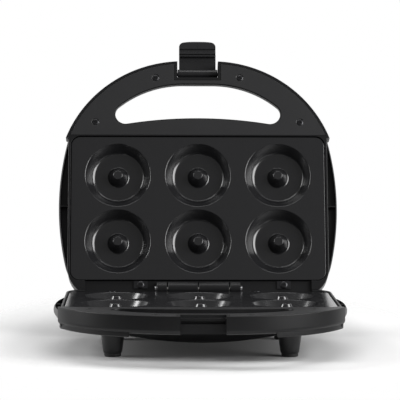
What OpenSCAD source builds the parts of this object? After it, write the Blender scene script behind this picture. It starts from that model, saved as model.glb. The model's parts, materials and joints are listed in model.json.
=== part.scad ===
// Electric donut maker: two mirrored housings on a rear hinge, each with a six-cavity plate.
// Each housing is drawn with its parting plane at z = 0 and its inside towards +z. The lid takes it
// as drawn and the base takes it turned over, so the hinge knuckles of the two halves alternate.

/* [Plates] */
// Distance between cavity centres across the plate
cavity_pitch_x = 70; // [69:0.5:72]
// Distance between the two rows of cavities
cavity_pitch_y = 60; // [60:0.5:62]
// Diameter of a ring cavity at the plate's face
cavity_d = 56.5; // [52:0.5:57]
// Depth of a ring cavity
cavity_depth = 10; // [8:0.5:10.5]
// Diameter of the centre post at its tip
post_tip_d = 8.2; // [6:0.2:10]
// Width of a plate
plate_w = 222; // [220:1:224]
// Depth of a plate, front to back
plate_d = 130; // [128:1:131]
// Thickness of the plate metal
plate_t = 2; // [1.6:0.1:2.2]
// How far a plate's face lies below the parting plane
plate_recess = 1; // [0.5:0.1:1.5]

/* [Housing] */
// How far the tray's side walls stand out beyond the plate
tray_side = 2.5; // [2.3:0.1:3.5]
// Depth of the tray's walls below the parting plane
tray_depth = 18; // [18:0.5:20]
// Depth of the domed middle of a housing
dome_depth = 31.5; // [30.5:0.5:34]
// Wall thickness of the mouldings
wall = 2.4; // [2.2:0.1:2.6]
// How far the side wings stand out beyond the tray
wing_reach = 8.5; // [7:0.5:10]
// Depth of the wing's middle below the parting plane
wing_mid = 8; // [8:0.2:9]
// Width of the hinge strip behind the plate
strip_w = 15; // [14:0.5:17]

/* [Handle] */
// Outer radius of the D-shaped handle
arch_r = 110; // [109:0.5:111]
// Length of the straight stretch at the handle's front
arch_flat = 26; // [20:1:30]
// Width of the handle's grip bar
grip_w = 22; // [21:0.5:24]
// Depth of the grip bar in each housing
grip_depth = 15; // [14:0.5:16]
// Thickness of the handle covers
cover_t = 2.2; // [2:0.1:2.4]

/* [Hinge and latch] */
// Distance of the hinge axis in front of the housings' back edge
hinge_in = 6.4; // [5.8:0.2:7]
// Outer radius of a hinge knuckle
knuckle_r = 6.5; // [6:0.25:7]
// Diameter of the hinge pin
hinge_pin_d = 3.5; // [3:0.25:4]
// Angle between the open lid and the closed one
open_angle = 110; // [100:1:110]
// Width of the latch
latch_w = 32.5; // [30:0.5:34]
// Length of the latch from its pin to its tip
latch_len = 31.5; // [29:0.5:33]
// Diameter of the latch pin
latch_pin_d = 3; // [2.5:0.25:3]

/* [Feet] */
// Height of the parting plane above the floor
parting_z = 42; // [41:0.5:46]
// Distance of the feet from the middle, sideways
foot_x = 72; // [70:1:74]
// Top diameter of a foot
foot_top_d = 20; // [18:0.5:21]
// Bottom diameter of a foot
foot_bottom_d = 15; // [14:0.5:17]

/* [Hidden] */

// running clearance round the pins, and the gap between pieces that only lie beside each other
run_gap = 0.05;
fit_gap = 0.3;
eps = 0.01;
// thickness of the slices that rounded forms are hulled from
slice_t = 0.2;
// how far each housing stops short of the parting plane
parting_gap = 0.15;
// how far a cut runs past the face that it opens, the depth of a cut that goes right through, and
// a length beyond any piece
past = 5;
through = 50;
beyond = 200;

// handle and tray outline
tray_half_w = plate_w / 2 + tray_side;
tray_front = plate_d / 2 + 3;
rear_y = plate_d / 2 + strip_w;
tray_corner_r = 26;
arch_y = tray_front - 42.8;
arch_front = arch_y + arch_r;
wing_half_w = tray_half_w + wing_reach;
wing_side_r = 246;
wing_side_y = 3;
wing_corner_r = 56;
wing_turn = 12.2;
wing_half_t = 6.5;
// recess of the wing towards the other housing, and the rib across its middle
wing_wall = 1.6;
wing_floor = wing_mid + 1.5;
wing_rib_t = 1.2;
wing_rib_y = -2.5;
wing_rib_top = wing_mid - 3.5;
dome_r = 300;
dome_end_r = 14;
dome_corner_r = 12;
dome_tip_half_w = 4;
dome_front_in = 7;
dome_back_in = 1;
dome_slice_t = 0.5;
band_depth = 11;
band_step = 1.3;
grip_half_len = 58;
// rounding of the grip's outer edge, as distances in from its radius and up from its face
grip_front_r = 0.5;
grip_round = [[0, 4], [0.8, 1.8], [2.1, 0.7], [4, 0]];
hole_r = arch_r - grip_w;
hole_back = tray_front + 8.5;
hole_back_mid = tray_front + 14.1;
hole_end_r = 9;
hole_back_r = 380;
cover_rim = 2.6;
cover_back = tray_front - 1.6;
hole_lip = 0.8;
// the hole flares out from this depth, by this much at the tray's depth
flare_from = 5;
flare_out = 6.5;
cover_ledge = 0.8;

// hinge
hinge_y = rear_y - hinge_in;
lean = open_angle - 90;
stop_angle = (360 - open_angle) / 2;
knuckle_gap = 0.6;
knuckle_len = 26;
knuckle_side_gap = 0.45;
ear_in = knuckle_len + 1.2;
ear_len = 9;
hinge_half = ear_in + ear_len;
strip_depth = 3;
strip_half_w = tray_half_w - 15.5;
strip_boss_h = 8;
pin_cap_t = 1.2;
pin_cap_rim = 1;
bracket_t = 1.2;
bracket_w = 12;
bracket_len = 6.6;

// latch, whose pin lies in a notch at the front of the lid's handle
latch_y = arch_front - 8.7;
latch_z = 11;
latch_in = 1.3;
latch_out = 7.5;
latch_hub_r = 4.2;
latch_bevel = 2;
latch_crown = 0.4;
latch_tip_r = 80;
latch_corner_r = 4.5;
latch_heel = 4;
lip_at = 16.1;
lip_t = 1.4;
lip_reach = 1.9;
notch_w = latch_w + 3.4;
notch_back = latch_y - 6.6;
keeper_y = latch_y + latch_in - 0.4;
keeper_slot_y = latch_y - lip_reach - 0.7;
keeper_back = keeper_slot_y - wall;
keeper_slot_side = 0.6;

// plate
plate_corner_r = 8;
plate_gap = 0.4;
plate_skirt = 4;
pocket_depth = plate_recess + plate_skirt + 0.5;
cavity_r = cavity_d / 2;
cavity_rim_r = 0.8;
// slope of the cavity's side, from the upright, and the radius where it turns into the floor
cavity_draft = 35;
cavity_root_r = 5;
cavity_floor_r = cavity_r - 9.25;
cavity_edge_x = cavity_r + plate_t;
post_base_r = 8.2;
boss_r = 3.2;
plate_boss_x = cavity_pitch_x / 2;
plate_boss_y = plate_d / 2 - 15;

// heating element, on the backs of the cavities
heater_d = 6.5;
cavity_back = plate_recess + cavity_depth + plate_t;
heater_z = cavity_back + heater_d / 2 + 0.1;
clamp_at = 18;
heater_run_y = cavity_pitch_y / 2;
heater_end_x = cavity_pitch_x - 8;
heater_bend_x = cavity_pitch_x - 28;
cold_pin_d = 2.4;
cold_pin_len = 9;
clamp_t = 0.8;
clamp_w = 8;
clamp_half_len = heater_d + 2;
reflector_t = 0.8;
reflector_z = heater_z + heater_d / 2 + clamp_t + 0.3;
reflector_half_x = heater_end_x + 2;
reflector_half_y = heater_run_y + 7;
reflector_skirt = 3;
reflector_corner_r = 6;
reflector_tab_w = 12;
reflector_tab_end = 6;
boss_depth = reflector_z;

// parts in the gaps between the cavities
gap_z = plate_recess + plate_t + 0.2;
stat_d = 15;
stat_h = 7;
stat_clip_w = 3;
stat_clip_t = 1.2;
stat_tag = [3, 0.8, 3];
fuse_d = 4;
fuse_len = 12;
fuse_lead_d = 1;
fuse_lead_len = 4;
block_x = plate_w / 2 - 8;
block_size = [9, 20, 6];
lead_d = 2;
lead_rise = 3.4;
crimp_d = 3;

// cord inlet
inlet_x = 60;
inlet_z = 19;
inlet_hole_r = 5;
inlet_bore_r = 3.3;
inlet_flange_r = 6.4;
inlet_flange_t = 1.6;
inlet_bush_len = 8;
inlet_room = 14;

// feet
foot_front_y = tray_front - 16;
foot_back_y = rear_y - 16;
pad_h = 2.5;
pad_d = foot_bottom_d - 1.4;
pad_seat = 1.2;
foot_top_w = 20.5;
foot_boss_h = 6;
foot_collar = 0.8;
foot_screw_d = 3;
foot_screw_seat = 4;

// lamps
lamp_x = 9;
lamp_y = tray_front - 22;
lens_d = 8;
lamp_d = 5;
lamp_len = 6;
lens_h = 6;
lens_r = 9;
lamp_z = dome_depth - lens_h - lamp_len - 0.5;
board_t = 1.5;
board_rim = 6;

// screws
screw_head_d = 6;
screw_head_h = 2;
screw_shank_d = 2.9;
screw_slot_w = 0.7;
screw_len = 9;
strip_screw_len = 6;
strip_head_h = 1.5;
// recess depth of the heads in the cover, and how far they stay below its face
cover_head_z = 0.9;
cover_head_sunk = 0.2;
// screws of the cover, on rays from the arch's centre that turn away from the front
cover_screws_at = [
    [arch_flat / 2 + (arch_r - 16.4) * sin(55.4), arch_y + (arch_r - 16.4) * cos(55.4)],
    [arch_flat / 2 + (arch_r - 12.65) * sin(14.4), arch_y + (arch_r - 12.65) * cos(14.4)]];
strip_screw_y = plate_d / 2 + 4.2;
strip_screws = [[-50, strip_screw_y], [74, strip_screw_y]];

// the open part stands centred on its origin, from the handle's front to the latch's far corner
latch_far = hinge_y + latch_y + latch_len - latch_bevel;
box_back = hinge_y + latch_far * sin(lean) + (latch_z + latch_out - latch_crown) * cos(lean);
frame_y = (arch_front - box_back) / 2;

housing_black = [0.10, 0.10, 0.105];
cover_grey = [0.20, 0.20, 0.205];
plate_black = [0.14, 0.14, 0.145];
steel = [0.72, 0.72, 0.74];
zinc = [0.55, 0.55, 0.57];
rubber_black = [0.05, 0.05, 0.05];
ceramic = [0.93, 0.91, 0.86];

// ---------- placing ----------

// a housing's own coordinates, turned over for the base
module in_base() {
    translate([0, frame_y, parting_z])
        rotate([0, 180, 0])
            children();
}

// a housing's own coordinates, turned back to the open position for the lid
module in_lid() {
    translate([0, frame_y + hinge_y, parting_z])
        rotate([-open_angle, 0, 0])
            translate([0, -hinge_y, 0])
                children();
}

// a cylinder along x between two places
module x_cylinder(x0, x1, r) {
    translate([x0, 0, 0])
        rotate([0, 90, 0])
            cylinder(h = x1 - x0, r = r, $fn = 48);
}

// a round rod between two points
module rod(a, b, d) {
    v = b - a;
    translate(a)
        rotate([0, acos(v.z / norm(v)), atan2(v.y, v.x)])
            cylinder(h = norm(v), d = d, $fn = 24);
}

// ---------- outlines ----------

// points of an arc about c, from angle a to angle b, in n steps
function arc(c, r, a, b, n) = [for (i = [0:n]) c + r * [cos(a + (b - a) * i / n), sin(a + (b - a) * i / n)]];

// area between a right-hand edge and its mirror image
module mirrored(edge) {
    last = len(edge) - 1;
    polygon(concat(edge, [for (i = [0:last]) [-edge[last - i].x, edge[last - i].y]]));
}

// rounded front of the handle, at radius r about its two centres
module arch_2d(r) {
    for (side = [-1, 1])
        translate([side * arch_flat / 2, -arch_y])
            circle(r = r, $fn = 128);
    translate([-arch_flat / 2, -arch_y - r])
        square([arch_flat, r]);
}

// everything in front of a line
module ahead_of(y) {
    translate([-beyond, -beyond - y])
        square([2 * beyond, beyond]);
}

// box with its two back corners rounded
module tray_2d(half_w, front, back, r) {
    translate([-half_w, -front])
        square([2 * half_w, front + back - r]);
    translate([-half_w + r, -front])
        square([2 * (half_w - r), front + back]);
    for (side = [-1, 1])
        translate([side * (half_w - r), back - r])
            circle(r = r, $fn = 64);
}

// rounded box about the middle
module plate_2d(w, d, r) {
    square([w - 2 * r, d], center = true);
    square([w, d - 2 * r], center = true);
    for (sx = [-1, 1], sy = [-1, 1])
        translate([sx * (w / 2 - r), sy * (d / 2 - r)])
            circle(r = r, $fn = 48);
}

// right edge of the bowed side wings, from front to back, drawn in by inset
function wing_edge(inset) =
    let (
        side = [wing_half_w - wing_side_r, -wing_side_y],
        corner = side + (wing_side_r - wing_corner_r) * [cos(wing_turn), sin(wing_turn)],
        front_a = -asin((cover_back - wing_side_y) / wing_side_r),
        rear_a = asin((rear_y - inset / 2 - corner.y) / (wing_corner_r - inset)))
    concat(
        arc(side, wing_side_r - inset, front_a, wing_turn - 1, 12),
        arc(corner, wing_corner_r - inset, wing_turn + 1, rear_a, 6));

module wing_2d(inset) {
    mirrored(wing_edge(inset));
}

// finger hole of the handle, grown by grow
module hole_2d(grow) {
    offset(r = hole_end_r + grow, $fn = 64)
        offset(delta = -hole_end_r)
            difference() {
                intersection() {
                    arch_2d(hole_r);
                    ahead_of(hole_back);
                }
                translate([0, hole_back_r - hole_back_mid])
                    circle(r = hole_back_r, $fn = 360);
            }
}

// the hole's outline with a straight back edge, drawn out towards the grip
module flare_2d(out) {
    offset(r = hole_end_r, $fn = 64)
        offset(delta = -hole_end_r)
            intersection() {
                arch_2d(hole_r + out);
                ahead_of(hole_back);
            }
}

// the hole through the handle, with its flare
module handle_hole() {
    translate([0, 0, -past])
        linear_extrude(through)
            hole_2d(0);
    difference() {
        hull() {
            translate([0, 0, flare_from])
                linear_extrude(slice_t)
                    flare_2d(0);
            translate([0, 0, tray_depth])
                linear_extrude(slice_t)
                    flare_2d(flare_out);
        }
        translate([0, hole_back_r - hole_back_mid, 0])
            cylinder(h = through, r = hole_back_r, $fn = 360);
    }
}

// ---------- housing ----------

function dome_half_w(depth) = sqrt(2 * dome_r * max(dome_depth - depth, eps));
function dome_round(depth) =
    let (t = min((depth - tray_depth + dome_slice_t) / (dome_depth - tray_depth + dome_slice_t), 1))
    dome_end_r * (1 - sqrt(1 - t * t));

// the domed middle, drawn in by inset on every face
module dome(inset) {
    hull()
        for (t = [0, 0.22, 0.42, 0.62, 0.8, 0.92, 1]) {
            depth = tray_depth + t * (dome_depth - tray_depth);
            half_w = max(dome_half_w(depth) - inset, dome_tip_half_w);
            cut = dome_round(depth) + inset;
            front = tray_front - dome_front_in - cut;
            back = rear_y - dome_back_in - cut;
            translate([0, (back - front) / 2, depth - inset - dome_slice_t])
                linear_extrude(dome_slice_t)
                    plate_2d(2 * half_w, front + back, min(dome_corner_r, half_w - 1));
        }
}

// bowed wing with a rounded edge
module wing() {
    hull()
        for (a = [-75:30:75])
            translate([0, 0, wing_mid + wing_half_t * sin(a) - slice_t / 2])
                linear_extrude(slice_t)
                    wing_2d(wing_reach * (1 - cos(a)));
}

// open room inside the wings, on both sides of the tray
module wing_recess() {
    difference() {
        translate([0, 0, -past])
            linear_extrude(past + wing_floor)
                difference() {
                    wing_2d(wing_wall);
                    tray_2d(tray_half_w, tray_front, rear_y, tray_corner_r);
                    ahead_of(cover_back - wall);
                    translate([-beyond, rear_y - wall])
                        square([2 * beyond, beyond]);
                }
        translate([-beyond, wing_rib_y - wing_rib_t / 2, wing_rib_top])
            cube([2 * beyond, wing_rib_t, wing_floor]);
    }
}

// section of the handle's outer edge, from the arch's centre outwards
module grip_section() {
    polygon(concat(
        [[0, parting_gap], [arch_r - grip_front_r, parting_gap], [arch_r, parting_gap + grip_front_r]],
        [for (at = grip_round) [arch_r - at.x, grip_depth - at.y]],
        [[0, grip_depth]]));
}

// D-shaped half of the handle, with a rounded outer edge
module handle_half() {
    intersection() {
        translate([0, -arch_y, 0]) {
            for (side = [-1, 1])
                translate([side * arch_flat / 2, 0, 0])
                    rotate(side < 0 ? 180 : 270)
                        rotate_extrude(angle = 90, $fn = 128)
                            grip_section();
            translate([-arch_flat / 2, 0, 0])
                rotate([90, 0, 90])
                    linear_extrude(arch_flat)
                        mirror([1, 0])
                            grip_section();
        }
        translate([-beyond, -beyond, 0])
            cube([2 * beyond, beyond - tray_front + 2, through]);
    }
    // deeper corners of the handle, outside the grip
    difference() {
        translate([0, 0, parting_gap])
            linear_extrude(tray_depth - parting_gap)
                intersection() {
                    arch_2d(arch_r - band_step);
                    ahead_of(tray_front - 2);
                }
        translate([-grip_half_len, -beyond, -past])
            cube([2 * grip_half_len, beyond, through]);
    }
}

// knuckle and ear of one housing, with the web that carries them
module knuckles() {
    for (span = [[knuckle_side_gap, knuckle_side_gap + knuckle_len], [-hinge_half, -ear_in]]) {
        translate([0, hinge_y, 0])
            x_cylinder(span[0], span[1], knuckle_r);
        translate([span[0], hinge_y - knuckle_r, strip_depth])
            cube([span[1] - span[0], knuckle_r, knuckle_r + wall]);
    }
}

// room for the other housing's knuckle and ear
module knuckle_room() {
    for (span = [
            [-knuckle_len - 2 * knuckle_side_gap, 0],
            [ear_in - knuckle_side_gap, hinge_half + knuckle_side_gap]])
        translate([0, hinge_y, 0])
            x_cylinder(span[0], span[1], knuckle_r + knuckle_gap);
}

// what the two housings cut off behind the hinge, so that they meet at the open stop
module stop_cut() {
    translate([0, hinge_y, 0])
        rotate([90 - stop_angle, 0, 0])
            translate([-beyond, -fit_gap / 2, -through])
                cube([2 * beyond, through, 2 * through]);
}

// outline that the cover fills, grown by grow on every side
module cover_2d(grow) {
    difference() {
        intersection() {
            arch_2d(arch_r - cover_rim + grow);
            ahead_of(cover_back - grow);
        }
        hole_2d(hole_lip - grow);
    }
}

// channel between the handle's walls, and the seat of the cover that closes it
module handle_channel(floor_z) {
    for (step = [[cover_t, flare_from + 1, 0], [flare_from + 1 - eps, floor_z, flare_out - 1]])
        translate([0, 0, step[0]])
            linear_extrude(step[1] - step[0])
                difference() {
                    intersection() {
                        arch_2d(arch_r - cover_rim - cover_ledge);
                        ahead_of(tray_front);
                    }
                    hole_2d(wall + step[2]);
                }
    translate([0, 0, -eps])
        linear_extrude(cover_t + fit_gap / 3 + eps)
            cover_2d(fit_gap / 2);
}

// bosses that take the cover's screws
module cover_bosses() {
    for (s = [-1, 1], at = cover_screws_at)
        translate([s * at.x, -at.y, cover_t + fit_gap / 3])
            cylinder(h = grip_depth - cover_t - wall / 2, r = boss_r, $fn = 32);
}

module cover_boss_holes() {
    for (s = [-1, 1], at = cover_screws_at)
        translate([s * at.x, -at.y, 0])
            cylinder(h = cover_head_z + screw_len + 1, d = screw_shank_d + 2 * run_gap, $fn = 24);
}

// one housing without its own openings for latch, feet, lamps or cord
module housing() {
    difference() {
        union() {
            difference() {
                union() {
                    translate([0, 0, parting_gap])
                        linear_extrude(tray_depth - parting_gap)
                            tray_2d(tray_half_w, tray_front, rear_y, tray_corner_r);
                    wing();
                    dome(0);
                    handle_half();
                }
                // inside of the tray, below the plate's seat
                translate([0, 0, strip_depth + wall])
                    linear_extrude(tray_depth - 2 * wall - strip_depth + eps)
                        tray_2d(tray_half_w - wall, tray_front - wall, rear_y - wall, tray_corner_r - wall);
                dome(wall);
                // seat of the plate
                translate([0, 0, -past])
                    linear_extrude(pocket_depth + past)
                        plate_2d(plate_w + 2 * plate_gap, plate_d + 2 * plate_gap,
                            plate_corner_r + plate_gap);
                // recessed strip in front of the hinge
                translate([-strip_half_w, 0, -past])
                    cube([2 * strip_half_w, rear_y + past, strip_depth + past]);
                handle_channel(grip_depth - wall);
                wing_recess();
                stop_cut();
            }
            cover_bosses();
            knuckles();
            strip_bosses();
        }
        handle_hole();
        knuckle_room();
        translate([0, hinge_y, 0])
            x_cylinder(-hinge_half - 1, hinge_half + 1, hinge_pin_d / 2 + run_gap);
        cover_boss_holes();
        strip_boss_holes();
    }
}

module strip_bosses() {
    for (at = strip_screws)
        translate([at.x, at.y, strip_depth])
            cylinder(h = strip_boss_h, r = boss_r, $fn = 32);
}

module strip_boss_holes() {
    for (at = strip_screws)
        translate([at.x, at.y, -past])
            cylinder(h = past + strip_depth + strip_boss_h - 1, d = screw_shank_d + 2 * run_gap, $fn = 24);
}

// ---------- screws ----------

// pan head screw with its head's seat at z = 0 and its shank towards +z
module screw(len, head_d = screw_head_d, head_h = screw_head_h, shank_d = screw_shank_d) {
    difference() {
        translate([0, 0, -head_h])
            cylinder(h = head_h, d1 = head_d - 1, d2 = head_d, $fn = 32);
        for (a = [0, 90])
            rotate(a)
                translate([-head_d / 4, -screw_slot_w / 2, -head_h - 1])
                    cube([head_d / 2, screw_slot_w, 2]);
    }
    translate([0, 0, -eps])
        cylinder(h = len + eps, d = shank_d, $fn = 24);
}

// ---------- parts that the base and the lid share ----------

module handle_cover() {
    difference() {
        translate([0, 0, parting_gap])
            linear_extrude(cover_t - parting_gap)
                cover_2d(0);
        for (s = [-1, 1], at = cover_screws_at)
            translate([s * at.x, -at.y, -past]) {
                cylinder(h = 2 * past, d = screw_shank_d + 2 * run_gap, $fn = 24);
                cylinder(h = past + cover_head_z, d = screw_head_d + fit_gap, $fn = 32);
            }
    }
}

module cover_screws() {
    for (s = [-1, 1], at = cover_screws_at)
        translate([s * at.x, -at.y, cover_head_z])
            screw(screw_len, head_h = cover_head_z - cover_head_sunk);
}

// section of a ring cavity's face, from the post's top out to the rim, as radius and depth
function cavity_line(t) =
    let (
        depth = cavity_depth,
        tip = post_tip_d / 2,
        rim = [cavity_r + cavity_rim_r, cavity_rim_r],
        rim_a = 180 + cavity_draft)
    concat(
        t > 0 ? [[0, t], [tip - 0.8 * t, t]] : concat([[0, 0]], arc([tip - 1, 1], 1, -90, -25, 4)),
        arc([post_base_r + 2.2, depth - 2.5], 2.5 + t, 155, 90, 5),
        arc([cavity_floor_r, depth - cavity_root_r], cavity_root_r + t, 90, cavity_draft, 6),
        t > 0
            ? [rim + (cavity_rim_r - t) * [cos(rim_a), sin(rim_a)]]
            : arc(rim, cavity_rim_r, rim_a, 270, 5));

// a solid ring that is one cavity, grown by t into the metal
module cavity_space(t) {
    line = cavity_line(t);
    rotate_extrude($fn = 96)
        polygon(concat(line, [[line[len(line) - 1].x, -2], [0, -2]]));
}

module cavity_places() {
    for (ix = [-1:1], iy = [-0.5, 0.5])
        translate([ix * cavity_pitch_x, iy * cavity_pitch_y, plate_recess])
            children();
}

// where a plate's screws take hold
module plate_boss_places() {
    for (sx = [-1, 1], sy = [-1, 1])
        translate([sx * plate_boss_x, sy * plate_boss_y, 0])
            children();
}

module plate() {
    difference() {
        union() {
            translate([0, 0, plate_recess])
                linear_extrude(plate_t)
                    plate_2d(plate_w, plate_d, plate_corner_r);
            translate([0, 0, plate_recess])
                linear_extrude(plate_skirt)
                    difference() {
                        plate_2d(plate_w, plate_d, plate_corner_r);
                        plate_2d(plate_w - 2 * plate_t, plate_d - 2 * plate_t, plate_corner_r - plate_t);
                    }
            cavity_places()
                intersection() {
                    translate([0, 0, plate_t / 2])
                        cylinder(h = cavity_depth + plate_t, r = cavity_edge_x, $fn = 96);
                    cavity_space(plate_t);
                }
            plate_boss_places()
                translate([0, 0, plate_recess + plate_t / 2])
                    cylinder(h = boss_depth - plate_recess - plate_t / 2, r = boss_r, $fn = 32);
        }
        cavity_places()
            cavity_space(0);
        plate_boss_places()
            translate([0, 0, plate_recess + plate_t])
                cylinder(h = boss_depth, d = screw_shank_d + 2 * run_gap, $fn = 24);
    }
}

// screws that clamp the reflector to the plate's bosses
module reflector_screws() {
    plate_boss_places()
        translate([0, 0, reflector_z + reflector_t])
            rotate([180, 0, 0])
                screw(screw_len);
}

// steel tabs on the strip that hold the plate's back edge
module plate_brackets() {
    for (at = strip_screws)
        difference() {
            translate([at.x - bracket_w / 2, plate_d / 2 + plate_gap + fit_gap, strip_depth - bracket_t])
                cube([bracket_w, bracket_len, bracket_t - eps]);
            translate([at.x, at.y, -past])
                cylinder(h = past + strip_depth + past, d = screw_shank_d + 2 * run_gap, $fn = 24);
        }
}

// hairpin element with a cold pin at each end
module heater() {
    for (s = [-1, 1]) {
        translate([0, s * heater_run_y, heater_z])
            x_cylinder(-heater_end_x, heater_bend_x - heater_run_y, heater_d / 2);
        translate([0, s * heater_run_y, heater_z])
            x_cylinder(-heater_end_x - cold_pin_len, -heater_end_x + 2, cold_pin_d / 2);
    }
    translate([heater_bend_x - heater_run_y, 0, heater_z])
        rotate([0, 0, -90])
            rotate_extrude(angle = 180, $fn = 96)
                translate([heater_run_y, 0])
                    circle(d = heater_d, $fn = 32);
}

// straps that hold the element down on the backs of the cavities
module heater_clamps() {
    saddle_r = heater_d / 2 + clamp_t;
    for (x = [-cavity_pitch_x + clamp_at, -clamp_at], s = [-1, 1])
        translate([x - clamp_w / 2, s * heater_run_y, 0])
            difference() {
                union() {
                    translate([0, 0, heater_z])
                        x_cylinder(0, clamp_w, saddle_r);
                    translate([0, -saddle_r, cavity_back])
                        cube([clamp_w, 2 * saddle_r, heater_z - cavity_back]);
                    translate([0, -clamp_half_len, cavity_back])
                        cube([clamp_w, 2 * clamp_half_len, clamp_t]);
                }
                translate([-1, 0, heater_z])
                    x_cylinder(0, clamp_w + 2, heater_d / 2 + run_gap);
                translate([-1, -heater_d / 2 - run_gap, cavity_back - heater_d])
                    cube([clamp_w + 2, heater_d + 2 * run_gap, heater_z - cavity_back + heater_d]);
                translate([-1, -clamp_half_len, cavity_back - heater_d])
                    cube([clamp_w + 2, 2 * clamp_half_len, heater_d]);
            }
}

// bowed tray of sheet metal behind the element
module reflector() {
    difference() {
        translate([0, 0, reflector_z - reflector_skirt])
            linear_extrude(reflector_skirt + reflector_t)
                plate_2d(2 * reflector_half_x, 2 * reflector_half_y, reflector_corner_r);
        translate([0, 0, reflector_z - reflector_skirt - 1])
            linear_extrude(reflector_skirt + 1)
                plate_2d(2 * (reflector_half_x - reflector_t), 2 * (reflector_half_y - reflector_t),
                    reflector_corner_r - reflector_t);
    }
    // tabs that the screws pass
    for (sx = [-1, 1], sy = [0, 180])
        rotate(sy)
            translate([sx * plate_boss_x, plate_boss_y, reflector_z])
                difference() {
                    translate([-reflector_tab_w / 2, reflector_half_y - plate_boss_y - 1, 0])
                        cube([
                            reflector_tab_w, plate_boss_y - reflector_half_y + reflector_tab_end,
                            reflector_t]);
                    translate([0, 0, -past])
                        cylinder(h = 2 * past, d = screw_shank_d + 2 * run_gap, $fn = 24);
                }
}

// ceramic block with two brass terminals' holes
module terminal_block() {
    difference() {
        translate([-block_x - block_size.x / 2, -block_size.y / 2, gap_z])
            cube(block_size);
        for (s = [-1, 1])
            translate([-block_x, s * block_size.y / 4, gap_z - 1])
                cylinder(h = block_size.z + 2, d = 3, $fn = 24);
    }
}

// leads from the terminal block to the element's cold pins, with a crimp at each bend
module heater_leads() {
    pin_x = -heater_end_x - cold_pin_len;
    block_back = gap_z + block_size.z;
    for (s = [-1, 1]) {
        start = [-block_x, s * block_size.y / 4, block_back + 0.1];
        bend = [-block_x, s * block_size.y / 4, block_back + lead_rise];
        end = [pin_x - lead_d, s * heater_run_y, heater_z];
        rod(start, bend, lead_d);
        rod(bend, end, lead_d);
        for (at = [bend, end])
            translate(at)
                sphere(d = crimp_d, $fn = 24);
    }
}

// ---------- base ----------

module base_shell() {
    color(housing_black)
        in_base()
            difference() {
                union() {
                    housing();
                    latch_keeper();
                    foot_sockets();
                }
                latch_recess();
                foot_socket_holes();
                // cord inlet
                translate([inlet_x, rear_y - inlet_room, inlet_z])
                    rotate([-90, 0, 0])
                        cylinder(h = 2 * inlet_room, r = inlet_hole_r, $fn = 48);
            }
}

// block behind the latch's recess
module latch_keeper() {
    translate([-notch_w / 2 - wall, -keeper_y - 1, wall])
        cube([notch_w + 2 * wall, keeper_y + 1 - keeper_back, grip_depth - wall]);
    for (s = [-1, 1])
        translate([s * (notch_w / 2 + wall / 2) - wall / 2, -arch_front + 1, parting_gap])
            cube([wall, arch_front - keeper_back - 1, grip_depth - 2 - parting_gap]);
}

module latch_recess() {
    translate([-notch_w / 2, -arch_front - past, -past])
        cube([notch_w, arch_front + past - keeper_y, through]);
    translate([-notch_w / 2 + keeper_slot_side, -keeper_y - 1, lip_at - latch_z - keeper_slot_side])
        cube([notch_w - 2 * keeper_slot_side, keeper_y + 1 - keeper_slot_y, lip_t + 2 * keeper_slot_side]);
}

module foot_places() {
    for (s = [-1, 1])
        for (y = [-foot_front_y, foot_back_y])
            translate([s * foot_x, y, 0])
                children();
}

// round seat of a foot, with a boss inside for its screw
module foot_sockets() {
    foot_places()
        translate([0, 0, foot_top_w - foot_boss_h])
            cylinder(h = foot_boss_h + foot_collar, d = foot_top_d + 2 * fit_gap + 2 * wall, $fn = 48);
}

module foot_socket_holes() {
    foot_places() {
        translate([0, 0, foot_top_w])
            cylinder(h = dome_depth, d = foot_top_d + 2 * fit_gap, $fn = 48);
        translate([0, 0, foot_top_w - foot_boss_h - 1])
            cylinder(h = dome_depth, d = foot_screw_d + 2 * run_gap, $fn = 24);
    }
}

module base_handle_cover() {
    color(cover_grey)
        in_base()
            difference() {
                handle_cover();
                translate([-notch_w / 2 - wall - fit_gap, -arch_front - past, -past])
                    cube([
                        notch_w + 2 * (wall + fit_gap), arch_front + past - keeper_back + fit_gap, through]);
            }
}

module base_cover_screws() {
    color(zinc)
        in_base()
            cover_screws();
}

module lower_plate() {
    color(plate_black)
        in_base()
            plate();
}

module base_plate_brackets() {
    color(zinc)
        in_base()
            plate_brackets();
}

module lower_heater() {
    color(steel)
        in_base()
            heater();
}

module lower_heater_clamps() {
    color(zinc)
        in_base()
            heater_clamps();
}

module lower_reflector() {
    color(steel)
        in_base()
            reflector();
}

module lower_reflector_screws() {
    color(zinc)
        in_base()
            reflector_screws();
}

// disc thermostat on the back of the plate, between four cavities
module thermostat() {
    color(ceramic)
        in_base()
            translate([plate_boss_x, 0, gap_z]) {
                cylinder(h = stat_h, d = stat_d, $fn = 48);
                for (s = [-1, 1])
                    translate([s * stat_d / 4 - stat_tag.x / 2, -stat_tag.y / 2, stat_h - eps])
                        cube(stat_tag);
            }
}

module thermostat_bracket() {
    color(zinc)
        in_base()
            translate([plate_boss_x, 0, gap_z])
                difference() {
                    cylinder(h = stat_clip_t, d = stat_d + 2 * stat_clip_w, $fn = 48);
                    translate([0, 0, -1])
                        cylinder(h = stat_clip_t + 2, d = stat_d + 2 * run_gap, $fn = 48);
                }
}

// thermal fuse in its sleeve, with a lead at each end
module thermal_fuse() {
    color([0.75, 0.72, 0.66])
        in_base()
            translate([-plate_boss_x, -fuse_len / 2, gap_z + fuse_d / 2])
                rotate([-90, 0, 0]) {
                    cylinder(h = fuse_len, d = fuse_d, $fn = 32);
                    translate([0, 0, -fuse_lead_len])
                        cylinder(h = fuse_len + 2 * fuse_lead_len, d = fuse_lead_d, $fn = 24);
                }
}

module base_terminal_block() {
    color(ceramic)
        in_base()
            terminal_block();
}

module base_leads() {
    color([0.85, 0.85, 0.8])
        in_base()
            heater_leads();
}

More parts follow.
